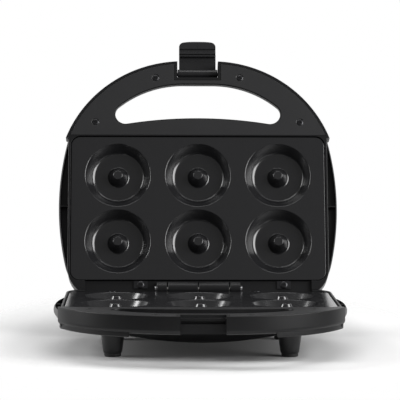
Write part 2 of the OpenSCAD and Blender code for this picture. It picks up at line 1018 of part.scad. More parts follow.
// bush in the back wall that the supply cord passes
module cord_bush() {
    color(rubber_black)
        in_base()
            translate([inlet_x, rear_y, inlet_z])
                rotate([-90, 0, 0])
                    difference() {
                        union() {
                            cylinder(h = inlet_flange_t, r = inlet_flange_r, $fn = 48);
                            translate([0, 0, -inlet_bush_len])
                                cylinder(h = inlet_bush_len + 1, r = inlet_hole_r - run_gap, $fn = 48);
                        }
                        translate([0, 0, -inlet_bush_len - 1])
                            cylinder(h = 2 * inlet_bush_len, r = inlet_bore_r, $fn = 48);
                    }
}

// tapered foot, from its bottom at the pad up to the housing
module foot() {
    foot_h = parting_z - foot_top_w - pad_h;
    difference() {
        union() {
            translate([0, 0, 2])
                cylinder(h = foot_h - 2, d1 = foot_bottom_d + 0.6, d2 = foot_top_d, $fn = 48);
            cylinder(h = 2 + eps, d1 = foot_bottom_d - 2, d2 = foot_bottom_d + 0.6, $fn = 48);
        }
        // seat of the pad
        translate([0, 0, -1])
            cylinder(h = 1 + pad_seat, d = pad_d - 2, $fn = 48);
        // screw and its head
        cylinder(h = foot_h + 1, d = foot_screw_d + 2 * run_gap, $fn = 24);
        translate([0, 0, -1])
            cylinder(h = 1 + foot_screw_seat, d = screw_head_d + 2 * fit_gap, $fn = 32);
    }
}

module feet(y) {
    for (s = [-1, 1])
        translate([s * foot_x, y + frame_y, pad_h])
            foot();
}

module front_feet() {
    color(rubber_black)
        feet(-foot_front_y);
}

module rear_feet() {
    color(rubber_black)
        feet(foot_back_y);
}

// rubber pads, one under each foot
module foot_pads() {
    color([0.09, 0.09, 0.09])
        for (s = [-1, 1], y = [-foot_front_y, foot_back_y])
            translate([s * foot_x, y + frame_y, 0]) {
                translate([0, 0, 1])
                    cylinder(h = pad_h - 1 - eps, d = pad_d, $fn = 48);
                cylinder(h = 1 + eps, d1 = pad_d - 1.6, d2 = pad_d, $fn = 48);
                translate([0, 0, pad_h - 2 * eps])
                    cylinder(h = pad_seat - 0.1, d = pad_d - 2 - 2 * run_gap, $fn = 48);
            }
}

module foot_screws() {
    color(zinc)
        for (s = [-1, 1], y = [-foot_front_y, foot_back_y])
            translate([s * foot_x, y + frame_y, pad_h + foot_screw_seat])
                screw(parting_z - foot_top_w - pad_h, shank_d = foot_screw_d);
}

module hinge_pin() {
    color(steel)
        translate([0, frame_y + hinge_y, parting_z])
            x_cylinder(-hinge_half, hinge_half, hinge_pin_d / 2);
}

// push-on caps at the ends of the hinge pin
module pin_caps() {
    color(zinc)
        translate([0, frame_y + hinge_y, parting_z])
            for (s = [-1, 1])
                translate([s * (hinge_half + fit_gap), 0, 0])
                    x_cylinder(s > 0 ? 0 : -pin_cap_t, s > 0 ? pin_cap_t : 0, hinge_pin_d / 2 + pin_cap_rim);
}

module strip_screw_set() {
    for (at = strip_screws)
        translate([at.x, at.y, strip_depth - bracket_t])
            screw(strip_screw_len, head_h = strip_head_h);
}

module base_strip_screws() {
    color(zinc)
        in_base()
            strip_screw_set();
}

// ---------- lid ----------

module lid_shell() {
    color(housing_black)
        in_lid()
            difference() {
                union() {
                    housing();
                    // walls round the latch's notch
                    translate([-notch_w / 2 - wall, -arch_front + 2, parting_gap])
                        cube([
                            notch_w + 2 * wall, arch_front - 2 - notch_back + wall,
                            grip_depth - 1 - parting_gap]);
                }
                translate([-notch_w / 2, -arch_front - past, -past])
                    cube([notch_w, arch_front + past - notch_back, through]);
                translate([0, -latch_y, latch_z])
                    x_cylinder(-notch_w / 2 - wall - 1, notch_w / 2 + wall + 1, latch_pin_d / 2 + run_gap);
                // windows of the lamps
                for (s = [-1, 1])
                    translate([s * lamp_x, -lamp_y, tray_depth])
                        cylinder(h = dome_depth, d = lens_d + 2 * run_gap, $fn = 48);
            }
}

module lid_handle_cover() {
    color(cover_grey)
        in_lid()
            difference() {
                handle_cover();
                translate([-notch_w / 2 - wall - fit_gap, -arch_front - past, -past])
                    cube([
                        notch_w + 2 * (wall + fit_gap), arch_front + past - notch_back + wall + fit_gap,
                        through]);
            }
}

module lid_cover_screws() {
    color(zinc)
        in_lid()
            cover_screws();
}

module upper_plate() {
    color(plate_black)
        in_lid()
            plate();
}

module lid_plate_brackets() {
    color(zinc)
        in_lid()
            plate_brackets();
}

module upper_heater() {
    color(steel)
        in_lid()
            heater();
}

module upper_heater_clamps() {
    color(zinc)
        in_lid()
            heater_clamps();
}

module upper_reflector() {
    color(steel)
        in_lid()
            reflector();
}

module upper_reflector_screws() {
    color(zinc)
        in_lid()
            reflector_screws();
}

module lid_terminal_block() {
    color(ceramic)
        in_lid()
            terminal_block();
}

module lid_leads() {
    color([0.85, 0.85, 0.8])
        in_lid()
            heater_leads();
}

module lid_strip_screws() {
    color(zinc)
        in_lid()
            strip_screw_set();
}

module lens() {
    intersection() {
        translate([0, 0, dome_depth - lens_h])
            cylinder(h = lens_h + 1, d = lens_d, $fn = 48);
        translate([0, 0, dome_depth - lens_r + 1])
            sphere(r = lens_r, $fn = 64);
    }
}

module power_lens() {
    color([0.8, 0.1, 0.08])
        in_lid()
            translate([-lamp_x, -lamp_y, 0])
                lens();
}

module ready_lens() {
    color([0.1, 0.6, 0.2])
        in_lid()
            translate([lamp_x, -lamp_y, 0])
                lens();
}

// small board behind the two lamps
module lamp_holder() {
    color([0.85, 0.8, 0.6])
        in_lid()
            difference() {
                translate([-lamp_x - board_rim, -lamp_y - board_rim, lamp_z - board_t - 0.1])
                    cube([2 * (lamp_x + board_rim), 2 * board_rim, board_t]);
                for (s = [-1, 1])
                    translate([s * lamp_x, -lamp_y, lamp_z - 2 * board_t])
                        cylinder(h = 3 * board_t, d = 2, $fn = 24);
            }
}

module lamp() {
    translate([0, 0, lamp_z])
        cylinder(h = lamp_len - lamp_d / 2, d = lamp_d, $fn = 32);
    translate([0, 0, lamp_z + lamp_len - lamp_d / 2])
        sphere(d = lamp_d, $fn = 32);
}

module power_lamp() {
    color([0.95, 0.6, 0.4])
        in_lid()
            translate([-lamp_x, -lamp_y, 0])
                lamp();
}

module ready_lamp() {
    color([0.6, 0.95, 0.6])
        in_lid()
            translate([lamp_x, -lamp_y, 0])
                lamp();
}

module latch_pin() {
    color(steel)
        in_lid()
            translate([0, -latch_y, latch_z])
                x_cylinder(-notch_w / 2 - wall, notch_w / 2 + wall, latch_pin_d / 2);
}

// ---------- latch, swung out in line with the lid ----------

module latch() {
    color([0.13, 0.13, 0.135])
        in_lid()
            translate([0, -latch_y, latch_z])
                difference() {
                    union() {
                        x_cylinder(-notch_w / 2 + fit_gap, notch_w / 2 - fit_gap, latch_hub_r);
                        intersection() {
                            translate([-latch_w / 2, 0, 0])
                                rotate([90, 0, 90])
                                    linear_extrude(latch_w)
                                        latch_2d();
                            translate([0, 0, -through / 2])
                                linear_extrude(through)
                                    latch_plan_2d();
                        }
                    }
                    x_cylinder(-latch_w, latch_w, latch_pin_d / 2 + run_gap);
                }
}

// section of the latch along its arm, which points towards -x here
module latch_2d() {
    step = -lip_at - 2.5 * lip_t;
    polygon([
        [0, latch_in], [-lip_at, latch_in], [-lip_at, -lip_reach], [-lip_at - lip_t, -lip_reach],
        [-lip_at - lip_t, latch_in + lip_t], [step, latch_in + lip_t], [step, latch_in],
        [-latch_len + 1, latch_in], [-latch_len, latch_in + 1],
        [-latch_len, latch_out - latch_bevel], [-latch_len + latch_bevel, latch_out - latch_crown],
        [-latch_len / 2, latch_out], [-latch_heel, latch_out - 0.6], [0, latch_hub_r - 0.5]]);
}

// plan of the latch's arm, with a bowed tip and rounded corners
module latch_plan_2d() {
    intersection() {
        translate([-latch_w / 2, -latch_len])
            square([latch_w, latch_len]);
        translate([0, latch_tip_r - latch_len])
            circle(r = latch_tip_r, $fn = 256);
        union() {
            translate([-latch_w / 2, latch_corner_r - latch_len])
                square([latch_w, latch_len]);
            translate([latch_corner_r - latch_w / 2, -latch_len])
                square([latch_w - 2 * latch_corner_r, latch_len]);
            for (s = [-1, 1])
                translate([s * (latch_w / 2 - latch_corner_r), latch_corner_r - latch_len])
                    circle(r = latch_corner_r, $fn = 64);
        }
    }
}

base_shell();
base_handle_cover();
base_cover_screws();
lower_plate();
base_plate_brackets();
lower_heater();
lower_heater_clamps();
lower_reflector();
lower_reflector_screws();
thermostat();
thermostat_bracket();
thermal_fuse();
base_terminal_block();
base_leads();
cord_bush();
front_feet();
rear_feet();
foot_pads();
foot_screws();
hinge_pin();
pin_caps();
base_strip_screws();
lid_shell();
lid_handle_cover();
lid_cover_screws();
upper_plate();
lid_plate_brackets();
upper_heater();
upper_heater_clamps();
upper_reflector();
upper_reflector_screws();
lid_terminal_block();
lid_leads();
lid_strip_screws();
power_lens();
ready_lens();
lamp_holder();
power_lamp();
ready_lamp();
latch_pin();
latch();
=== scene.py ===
import json
import math

import bmesh
import bpy
from mathutils import Matrix, Vector


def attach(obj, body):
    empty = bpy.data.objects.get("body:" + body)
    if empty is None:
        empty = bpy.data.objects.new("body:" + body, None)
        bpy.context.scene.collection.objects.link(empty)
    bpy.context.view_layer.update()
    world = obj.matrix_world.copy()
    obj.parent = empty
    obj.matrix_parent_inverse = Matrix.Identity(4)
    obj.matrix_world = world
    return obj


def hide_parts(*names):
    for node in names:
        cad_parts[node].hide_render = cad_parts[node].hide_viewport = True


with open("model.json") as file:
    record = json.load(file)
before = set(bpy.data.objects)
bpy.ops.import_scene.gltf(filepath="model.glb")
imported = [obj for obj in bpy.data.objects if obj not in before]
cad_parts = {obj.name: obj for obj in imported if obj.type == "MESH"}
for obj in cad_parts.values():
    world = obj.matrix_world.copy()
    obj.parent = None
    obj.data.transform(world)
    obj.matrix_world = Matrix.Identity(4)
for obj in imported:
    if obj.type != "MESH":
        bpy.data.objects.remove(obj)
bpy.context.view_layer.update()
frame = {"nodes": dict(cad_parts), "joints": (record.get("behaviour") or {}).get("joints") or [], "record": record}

# ---------- sizes ----------
# Each housing is modelled as it leaves its mould, in millimetres: x across, y towards the hinge,
# z into the housing from the parting plane. The lid takes it as drawn and the base turned over.

MM = 0.001
SIDES = (-1, 1)
PARTING_GAP = 0.15
WALL = 2.4
EDGE_R = 0.6
ARCH_R = 110.0
ARCH_Y = 25.2
ARCH_FLAT = 26.0
ARCH_FRONT = ARCH_Y + ARCH_R
BAND_DEPTH = 11.0
BAND_STEP = 1.3
GRIP_W = 22.0
GRIP_DEPTH = 15.0
GRIP_HALF_LEN = 58.0
GRIP_ROUND = 4.0
HANDLE_BACK = 64.0
CORNER_ROUND = 1.2
COVER_RIM = 2.6
COVER_LEDGE = 0.8
COVER_BACK = 66.4
COVER_T = 2.2
COVER_EDGE = 0.35
COVER_SEAT_GAP = 0.15
COVER_SEAT_T = COVER_T + 0.1
HOLE_R = ARCH_R - GRIP_W
HOLE_END_R = 9.0
HOLE_BACK_R = 380.0
HOLE_BACK_MID = 82.1
HOLE_LIP = 0.8
FLARE_FROM = 5.0
FLARE_OUT = 6.5
TRAY_HALF_W = 113.5
TRAY_FRONT = 68.0
TRAY_DEPTH = 18.0
TRAY_CORNER_R = 26.0
TRAY_ROUND = 3.0
REAR_Y = 80.0
WING_HALF_W = 122.0
WING_SIDE_R = 246.0
WING_SIDE_Y = 3.0
WING_CORNER_R = 56.0
WING_TURN = 12.2
WING_MID = 8.0
WING_HALF_T = 6.5
WING_WALL = 1.6
WING_FLOOR = 9.5
WING_FLOOR_R = 1.2
WING_RIB_Y = -2.5
WING_RIB_T = 1.2
WING_RIB_TOP = 4.5
DOME_DEPTH = 31.5
DOME_R = 300.0
DOME_FRONT = -61.0
DOME_BACK = 79.0
DOME_TIP_HALF_W = 4.0
DOME_END_R = 14.0
DOME_CORNER_R = 12.0
DOME_START = TRAY_DEPTH - 0.5
PLATE_W = 222.0
PLATE_D = 130.0
PLATE_T = 2.0
PLATE_RECESS = 1.0
PLATE_GAP = 0.4
PLATE_CORNER_R = 8.0
PLATE_EDGE_R = 0.7
PLATE_SKIRT = 4.0
POCKET_DEPTH = 5.5
CAVITY_PITCH = (70.0, 60.0)
CAVITY_R = 28.25
CAVITY_DEPTH = 10.0
CAVITY_RIM_R = 0.8
CAVITY_FLOOR_R = 19.0
CAVITY_ROOT_R = 5.0
CAVITY_DRAFT = 35
POST_TIP_R = 4.1
POST_TIP_ROUND = 0.7
POST_BASE_R = 8.2
POST_ROOT_R = 2.5
STRIP_DEPTH = 3.0
STRIP_HALF_W = 98.0
HINGE_Y = 73.6
KNUCKLE_R = 6.5
KNUCKLE_LEN = 26.0
KNUCKLE_SIDE_GAP = 0.45
KNUCKLE_GAP = 0.6
EAR_IN = 27.2
EAR_LEN = 9.0
STOP_GAP = 0.15
LATCH_Y = 126.5
LATCH_Z = 11.0
LATCH_W = 32.5
LATCH_LEN = 31.5
LATCH_IN = 1.3
LATCH_OUT = 7.5
LATCH_CORNER_R = 4.5
LATCH_BOW_R = 80.0
LATCH_HUB_R = 4.2
LATCH_PIN_R = 1.55
NOTCH_HALF_W = 17.95
NOTCH_BACK = 119.9
KEEPER_Y = 127.4
KEEPER_SLOT_Y = 123.9
KEEPER_SLOT = (4.5, 7.1)
FOOT_X = 72.0
FOOT_PLACES_Y = (-52.0, 64.0)
FOOT_TOP_W = 20.5
FOOT_ROOM_R = 10.3
FOOT_SEAT_R = 13.0
PAD_H = 2.5
COVER_SCREWS = ((90.0, -78.4), (37.2, -119.5))
STRIP_SCREWS = ((-50.0, 69.2), (74.0, 69.2))
BOSS_R = 3.2
LAMP_X = 9.0
LAMP_Y = -46.0
LENS_D = 8.0
INLET_X = 60.0
INLET_Z = 19.0
INLET_R = 5.0
INLET_ROOM = 14.0

lid_hinge = next(joint for joint in frame["joints"] if joint["name"] == "lid_hinge")
HINGE = Vector(lid_hinge["pos_m"])
OPEN_ANGLE = math.radians(lid_hinge["range_deg"][1])

BASE = Matrix.Translation((0, HINGE.y - HINGE_Y * MM, HINGE.z)) @ Matrix.Rotation(math.pi, 4, "Y")
LID = (Matrix.Translation((0, HINGE.y, HINGE.z)) @ Matrix.Rotation(-OPEN_ANGLE, 4, "X")
       @ Matrix.Translation((0, -HINGE_Y * MM, 0)))
PLACE = {"base": BASE, "lid": LID, "latch": LID}

# ---------- mesh tools ----------


def polar(centre, radius, degrees):
    a = math.radians(degrees)
    return centre[0] + radius * math.cos(a), centre[1] + radius * math.sin(a)


def arc(centre, radius, start, end, steps):
    """Points along an arc, angles in degrees."""
    return [polar(centre, radius, start + (end - start) * i / steps) for i in range(steps + 1)]


def turns(steps):
    """Angles of a quarter turn, in equal steps."""
    return [math.pi / 2 * n / steps for n in range(steps + 1)]


def mirrored(edge):
    """A closed outline from its right-hand edge."""
    return edge + [(-x, y) for x, y in reversed(edge) if abs(x) > 1e-6]


def rounded_box(half_w, front, back, radius, steps=8):
    """Outline of a box from y = front to y = back, with four equal corners."""
    edge = arc((half_w - radius, front + radius), radius, -90, 0, steps)
    edge += arc((half_w - radius, back - radius), radius, 0, 90, steps)
    return mirrored(edge)


def quarter(start, end, steps=5):
    """Profile points of a rounded edge, level at its start and upright at its end."""
    (w0, i0), (w1, i1) = start, end
    return [(w0 + (w1 - w0) * (1 - math.cos(t)), i0 + (i1 - i0) * math.sin(t))
            for t in turns(steps)]


def round_off(start, rise, inset, steps):
    """Profile points of a rounded edge, upright at its start and level at its end."""
    return [(start + rise * math.sin(t), inset * (1 - math.cos(t))) for t in turns(steps)]


def new_object(name, data):
    obj = bpy.data.objects.new(name, data)
    bpy.context.scene.collection.objects.link(obj)
    return obj


def mesh_object(name, points, faces):
    mesh = bpy.data.meshes.new(name)
    mesh.from_pydata(points, [], faces)
    return new_object(name, mesh)


def edit(obj, change):
    """Runs change on the object's mesh as a bmesh."""
    bm = bmesh.new()
    bm.from_mesh(obj.data)
    change(bm)
    bm.to_mesh(obj.data)
    bm.free()
    return obj


def outward(obj):
    return edit(obj, lambda bm: bmesh.ops.recalc_face_normals(bm, faces=bm.faces))


def loft(name, rings):
    """Closed solid through rings of equally many points."""
    count = len(rings[0])
    faces = [tuple(reversed(range(count)))]
    for level in range(len(rings) - 1):
        low = level * count
        for i in range(count):
            j = (i + 1) % count
            faces.append((low + i, low + j, low + count + j, low + count + i))
    faces.append(tuple(range((len(rings) - 1) * count, len(rings) * count)))
    return outward(mesh_object(name, [p for ring in rings for p in ring], faces))


def stack(name, outline, profile):
    """Solid whose plan is outline(inset) at every (depth, inset) of its profile."""
    return loft(name, [[(x, y, w) for x, y in outline(inset)] for w, inset in profile])


def turned(name, profile, steps=64, at=(0, 0, 0)):
    """Solid turned about z from (radius, depth) points, none of them on the axis."""
    rings = [[(at[0] + x, at[1] + y, at[2] + z) for x, y in arc((0, 0), r, 0, 360, steps)[:-1]]
             for r, z in profile]
    return loft(name, rings)


def across(name, radius, x0, x1, y=0.0, z=0.0, steps=48, chamfer=0.0):
    """Round bar along x."""
    ends = [(x0, radius), (x1, radius)]
    if chamfer:
        ends = [(x0, radius - chamfer), (x0 + chamfer, radius),
                (x1 - chamfer, radius), (x1, radius - chamfer)]
    return loft(name, [[(x, y + b, z + c) for b, c in arc((0, 0), r, 0, 360, steps)[:-1]]
                       for x, r in ends])


def block(name, low, high):
    (x0, y0, z0), (x1, y1, z1) = low, high
    plan = [(x0, y0), (x1, y0), (x1, y1), (x0, y1)]
    return loft(name, [[(x, y, z0) for x, y in plan], [(x, y, z1) for x, y in plan]])


def move(obj, matrix):
    obj.data.transform(matrix)
    return obj


def drop(obj):
    bpy.data.objects.remove(obj)


def settle(obj):
    """Gives the object the mesh that its modifiers make."""
    shown = bpy.context.evaluated_depsgraph_get()
    mesh = bpy.data.meshes.new_from_object(obj.evaluated_get(shown))
    obj.modifiers.clear()
    obj.data = mesh
    return obj


def combine(body, tools, operation):
    """Adds the tools to the body, or cuts them from it, one after another."""
    for tool in tools:
        step = body.modifiers.new("step", "BOOLEAN")
        step.operation = operation
        step.solver = "EXACT"
        step.object = tool
        settle(body)
        drop(tool)
    return body


def add(body, *tools):
    return combine(body, tools, "UNION")


def cut(body, *tools):
    return combine(body, tools, "DIFFERENCE")


def weld(body, *others):
    """Joins meshes that only lie beside each other."""
    bm = bmesh.new()
    for obj in (body, *others):
        bm.from_mesh(obj.data)
    bm.to_mesh(body.data)
    bm.free()
    for obj in others:
        drop(obj)
    return body


CREASE = math.radians(32)


def finish_piece(obj, place, body, material, replaced, edge_width):
    """Rounds the edges, puts the piece where its housing is and ties it to its body."""
    edit(obj, lambda bm: bmesh.ops.remove_doubles(bm, verts=bm.verts, dist=1e-4))
    if edge_width:
        soften = obj.modifiers.new("edges", "BEVEL")
        soften.width = edge_width
        soften.segments = 2
        soften.limit_method = "ANGLE"
        soften.angle_limit = CREASE
        soften.use_clamp_overlap = True
        settle(obj)
    move(obj, Matrix.Scale(MM, 4))
    move(obj, place)
    obj.data.polygons.foreach_set("use_smooth", [True] * len(obj.data.polygons))
    obj.data.set_sharp_from_angle(angle=CREASE)
    even = obj.modifiers.new("even_shading", "WEIGHTED_NORMAL")
    even.keep_sharp = True
    obj.data.materials.clear()
    obj.data.materials.append(material)
    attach(obj, body)
    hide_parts(replaced)


# ---------- outlines of the housing ----------


def arch_outline(inset, back=HANDLE_BACK, steps=44):
    """D-shaped front of the handle, closed at y = -back."""
    radius = ARCH_R - inset
    side = math.degrees(math.asin((back - ARCH_Y) / radius))
    return mirrored(arc((ARCH_FLAT / 2, -ARCH_Y), radius, 270, 360 - side, steps))


def tray_outline(inset):
    half_w, back, radius = TRAY_HALF_W - inset, REAR_Y - inset, TRAY_CORNER_R - inset
    corner = arc((half_w - radius, back - radius), radius, 0, 90, 12)
    return mirrored([(half_w, -TRAY_FRONT + inset)] + corner)


def wing_outline(inset):
    side = (WING_HALF_W - WING_SIDE_R, -WING_SIDE_Y)
    corner = polar(side, WING_SIDE_R - WING_CORNER_R, WING_TURN)
    front_a = -math.degrees(math.asin((COVER_BACK - WING_SIDE_Y) / WING_SIDE_R))
    rear_a = math.degrees(math.asin((REAR_Y - inset / 2 - corner[1]) / (WING_CORNER_R - inset)))
    edge = arc(side, WING_SIDE_R - inset, front_a, WING_TURN, 28)
    edge += arc(corner, WING_CORNER_R - inset, WING_TURN, rear_a, 14)[1:]
    return mirrored(edge)


def hole_outline(grow, flare=0.0):
    """Finger hole of the handle, drawn out towards the grip by flare."""
    arch = (ARCH_FLAT / 2, -ARCH_Y)
    back = (0.0, HOLE_BACK_R - HOLE_BACK_MID)
    arch_r, back_r = HOLE_R + flare - HOLE_END_R, HOLE_BACK_R + HOLE_END_R
    gap = math.dist(arch, back)
    along = (arch_r ** 2 - back_r ** 2 + gap ** 2) / (2 * gap)
    off = math.sqrt(arch_r ** 2 - along ** 2)
    ux, uy = (back[0] - arch[0]) / gap, (back[1] - arch[1]) / gap
    end = (arch[0] + along * ux + off * uy, arch[1] + along * uy - off * ux)
    toward_end = math.degrees(math.atan2(end[1] - arch[1], end[0] - arch[0])) % 360
    toward_back = math.degrees(math.atan2(back[1] - end[1], back[0] - end[0]))
    edge = arc(arch, HOLE_R + flare + grow, 270, toward_end, 28)
    edge += arc(end, HOLE_END_R + grow, toward_end - 360, toward_back, 16)[1:]
    edge += arc(back, HOLE_BACK_R - grow, toward_back - 180, -90, 20)[1:]
    return mirrored(edge)


def dome_outline(depth, inset):
    """Plan of the domed middle at one depth."""
    half_w = math.sqrt(2 * DOME_R * max(DOME_DEPTH - depth, 0.01))
    half_w = max(half_w, DOME_TIP_HALF_W) - inset
    turn = min((depth - TRAY_DEPTH + 0.5) / (DOME_DEPTH - TRAY_DEPTH + 0.5), 1.0)
    ends = DOME_END_R * (1 - math.sqrt(1 - turn * turn)) + inset
    corner_r = min(DOME_CORNER_R, half_w - 1)
    return rounded_box(half_w, DOME_FRONT + ends, DOME_BACK - ends, corner_r)


def dome(name, inset):
    """The domed middle, from inside the tray's floor up."""
    root = TRAY_DEPTH - WALL - 2 if inset else TRAY_DEPTH - 4
    rings = []
    for turn in turns(22):
        depth = DOME_START + math.sin(turn) * (DOME_DEPTH - TRAY_DEPTH + 0.5 - 0.02)
        rings.append([(x, y, depth - inset) for x, y in dome_outline(depth, inset)])
    rings.insert(0, [(x, y, root) for x, y, _ in rings[0]])
    return loft(name, rings)


# ---------- housing ----------


def parting_edge(steps=5):
    return quarter((PARTING_GAP, EDGE_R), (PARTING_GAP + EDGE_R, 0.0), steps)


def handle_form():
    profile = parting_edge() + round_off(BAND_DEPTH, GRIP_DEPTH - BAND_DEPTH, GRIP_ROUND, 7)
    return stack("handle", arch_outline, profile)


def handle_corner(side):
    """Deeper part of the handle, outside the grip."""
    def plan(inset):
        radius = ARCH_R - BAND_STEP - inset
        start = GRIP_HALF_LEN + inset
        first = -math.degrees(math.acos((start - ARCH_FLAT / 2) / radius))
        last = -math.degrees(math.asin((HANDLE_BACK - ARCH_Y) / radius))
        edge = arc((ARCH_FLAT / 2, -ARCH_Y), radius, first, last, 18)
        return [(side * x, y) for x, y in [(start, -HANDLE_BACK)] + edge]
    profile = [(BAND_DEPTH - 2, 0.0)]
    profile += round_off(TRAY_DEPTH - CORNER_ROUND, CORNER_ROUND, CORNER_ROUND, 4)
    return stack("corner", plan, profile)


def tray_form():
    profile = parting_edge(3) + round_off(TRAY_DEPTH - TRAY_ROUND, TRAY_ROUND, TRAY_ROUND, 6)
    return stack("tray", tray_outline, profile)


def wing_form():
    """Side wings, with a full round along their edge."""
    reach = WING_HALF_W - TRAY_HALF_W
    angles = [math.radians(-84 + 8 * n) for n in range(22)]
    profile = [(WING_MID + WING_HALF_T * math.sin(a), 0.3 + reach * (1 - math.cos(a)))
               for a in angles]
    return stack("wing", wing_outline, profile)


def wing_rooms():
    """Open recesses inside the wings, each with a rib across its middle."""
    rooms = []
    front, back = -(COVER_BACK - WALL), REAR_Y - WALL
    section = [(-3, WING_WALL), (WING_FLOOR - WING_FLOOR_R, WING_WALL),
               (WING_FLOOR - 0.4, WING_WALL + 0.4), (WING_FLOOR, WING_WALL + WING_FLOOR_R)]
    middle, tray_edge, outside = 10, 100, 130
    for side in SIDES:
        room = stack("room", wing_outline, section)
        x0, x1 = sorted((side * middle, side * outside))
        half = block("side", (x0, front, -4), (x1, back, WING_FLOOR + 2))
        combine(room, [half], "INTERSECT")
        cut(room, stack("tray", tray_outline, [(-6, 0.0), (WING_FLOOR + 6, 0.0)]))
        x0, x1 = sorted((side * tray_edge, side * outside))
        rib = block("rib", (x0, WING_RIB_Y - WING_RIB_T / 2, WING_RIB_TOP),
                    (x1, WING_RIB_Y + WING_RIB_T / 2, WING_FLOOR + 4))
        rooms.append(cut(room, rib))
    return rooms


def hole_tool():
    """Cutter of the finger hole, which rounds its rim and flares out towards the back."""
    levels = [(PARTING_GAP - 3, EDGE_R, 0.0)]
    levels += [(PARTING_GAP + EDGE_R * (1 - math.cos(t)), EDGE_R * (1 - math.sin(t)), 0.0)
               for t in turns(5)]
    slope = FLARE_OUT / (TRAY_DEPTH - FLARE_FROM)
    bend_from, bend_reach = FLARE_FROM - 1.5, 3.0
    levels.append((bend_from, 0.0, 0.0))
    levels += [(bend_from + n, 0.0, slope * 0.5 * (n - 0.5) ** 2 / bend_reach)
               for n in range(1, 5)]
    levels += [(w, 0.0, slope * (w - FLARE_FROM))
               for w in (8.5, 12.0, TRAY_DEPTH, TRAY_DEPTH + 4)]
    return loft("hole", [[(x, y, w) for x, y in hole_outline(grow, flare)]
                         for w, grow, flare in levels])


def knuckles():
    """A housing's own barrels on the hinge axis, each on its web."""
    parts = []
    for x0, x1 in ((KNUCKLE_SIDE_GAP, KNUCKLE_SIDE_GAP + KNUCKLE_LEN),
                   (-EAR_IN - EAR_LEN, -EAR_IN)):
        parts.append(across("knuckle", KNUCKLE_R, x0, x1, y=HINGE_Y, chamfer=0.4))
        parts.append(block("web", (x0, HINGE_Y - KNUCKLE_R + 0.2, STRIP_DEPTH - 0.5),
                           (x1, HINGE_Y + 0.5, STRIP_DEPTH + KNUCKLE_R + 2)))
    return parts


def knuckle_room():
    """Clear space around the other housing's barrels."""
    spans = ((-KNUCKLE_LEN - 2 * KNUCKLE_SIDE_GAP, 0.0),
             (EAR_IN - KNUCKLE_SIDE_GAP, EAR_IN + EAR_LEN + KNUCKLE_SIDE_GAP))
    return [across("room", KNUCKLE_R + KNUCKLE_GAP, x0, x1, y=HINGE_Y) for x0, x1 in spans]


def stop_tool():
    """What lies behind the plane where the two open housings meet."""
    tool = block("stop", (-150, -STOP_GAP, -40), (150, 60, 60))
    stop_angle = (2 * math.pi - OPEN_ANGLE) / 2
    move(tool, Matrix.Rotation(math.pi / 2 - stop_angle, 4, "X"))
    return move(tool, Matrix.Translation((0, HINGE_Y, 0)))


def plate_pocket():
    def outline(grow):
        return rounded_box(PLATE_W / 2 + PLATE_GAP + grow, -PLATE_D / 2 - PLATE_GAP - grow,
                           PLATE_D / 2 + PLATE_GAP + grow, PLATE_CORNER_R + PLATE_GAP + grow)
    lip = [(-3, 0.5), (PARTING_GAP, 0.5), (PARTING_GAP + 0.15, 0.2), (PARTING_GAP + 0.5, 0.0),
           (POCKET_DEPTH, 0.0)]
    return stack("pocket", outline, lip)


def cover_seat():
    seat = stack("seat", lambda grow: arch_outline(COVER_RIM - grow, COVER_BACK - grow),
                 [(-1, COVER_SEAT_GAP), (COVER_SEAT_T, COVER_SEAT_GAP)])
    lip = stack("lip", lambda grow: hole_outline(HOLE_LIP - grow),
                [(-3, COVER_SEAT_GAP), (COVER_T + 2, COVER_SEAT_GAP)])
    return cut(seat, lip)


def grip_channel():
    """Hollow of the grip under its cover, which keeps a wall around the finger hole."""
    channel = stack("channel", lambda grow: arch_outline(COVER_RIM + COVER_LEDGE, TRAY_FRONT),
                    [(COVER_T, 0.0), (GRIP_DEPTH - WALL, 0.0)])
    narrow, wide = WALL, WALL + 5.5
    lip = stack("lip", hole_outline, [(0, narrow), (FLARE_FROM + 1, narrow),
                                      (FLARE_FROM + 2, wide), (GRIP_DEPTH, wide)])
    return cut(channel, lip)


def boss(x, y, top, bottom):
    return turned("boss", [(BOSS_R, top), (BOSS_R, bottom)], 32, (x, y, 0))


def housing():
    """What the base's and the lid's housing have in common."""
    body = add(handle_form(), handle_corner(-1), handle_corner(1), tray_form(), wing_form(),
               dome("dome", 0.0))
    inner = stack("inner", lambda i: tray_outline(WALL),
                  [(STRIP_DEPTH + WALL, 0.0), (TRAY_DEPTH - WALL, 0.0)])
    strip = block("strip", (-STRIP_HALF_W, 0, -5), (STRIP_HALF_W, REAR_Y + 5, STRIP_DEPTH))
    cut(body, inner, dome("dome_inside", WALL), plate_pocket(), strip, grip_channel(),
        cover_seat(), *wing_rooms(), stop_tool())
    bosses = [boss(side * x, y, COVER_SEAT_T, GRIP_DEPTH - 1)
              for side in SIDES for x, y in COVER_SCREWS]
    bosses += [boss(x, y, STRIP_DEPTH, STRIP_DEPTH + 8) for x, y in STRIP_SCREWS]
    add(body, *bosses, *knuckles())
    return cut(body, hole_tool(), *knuckle_room())


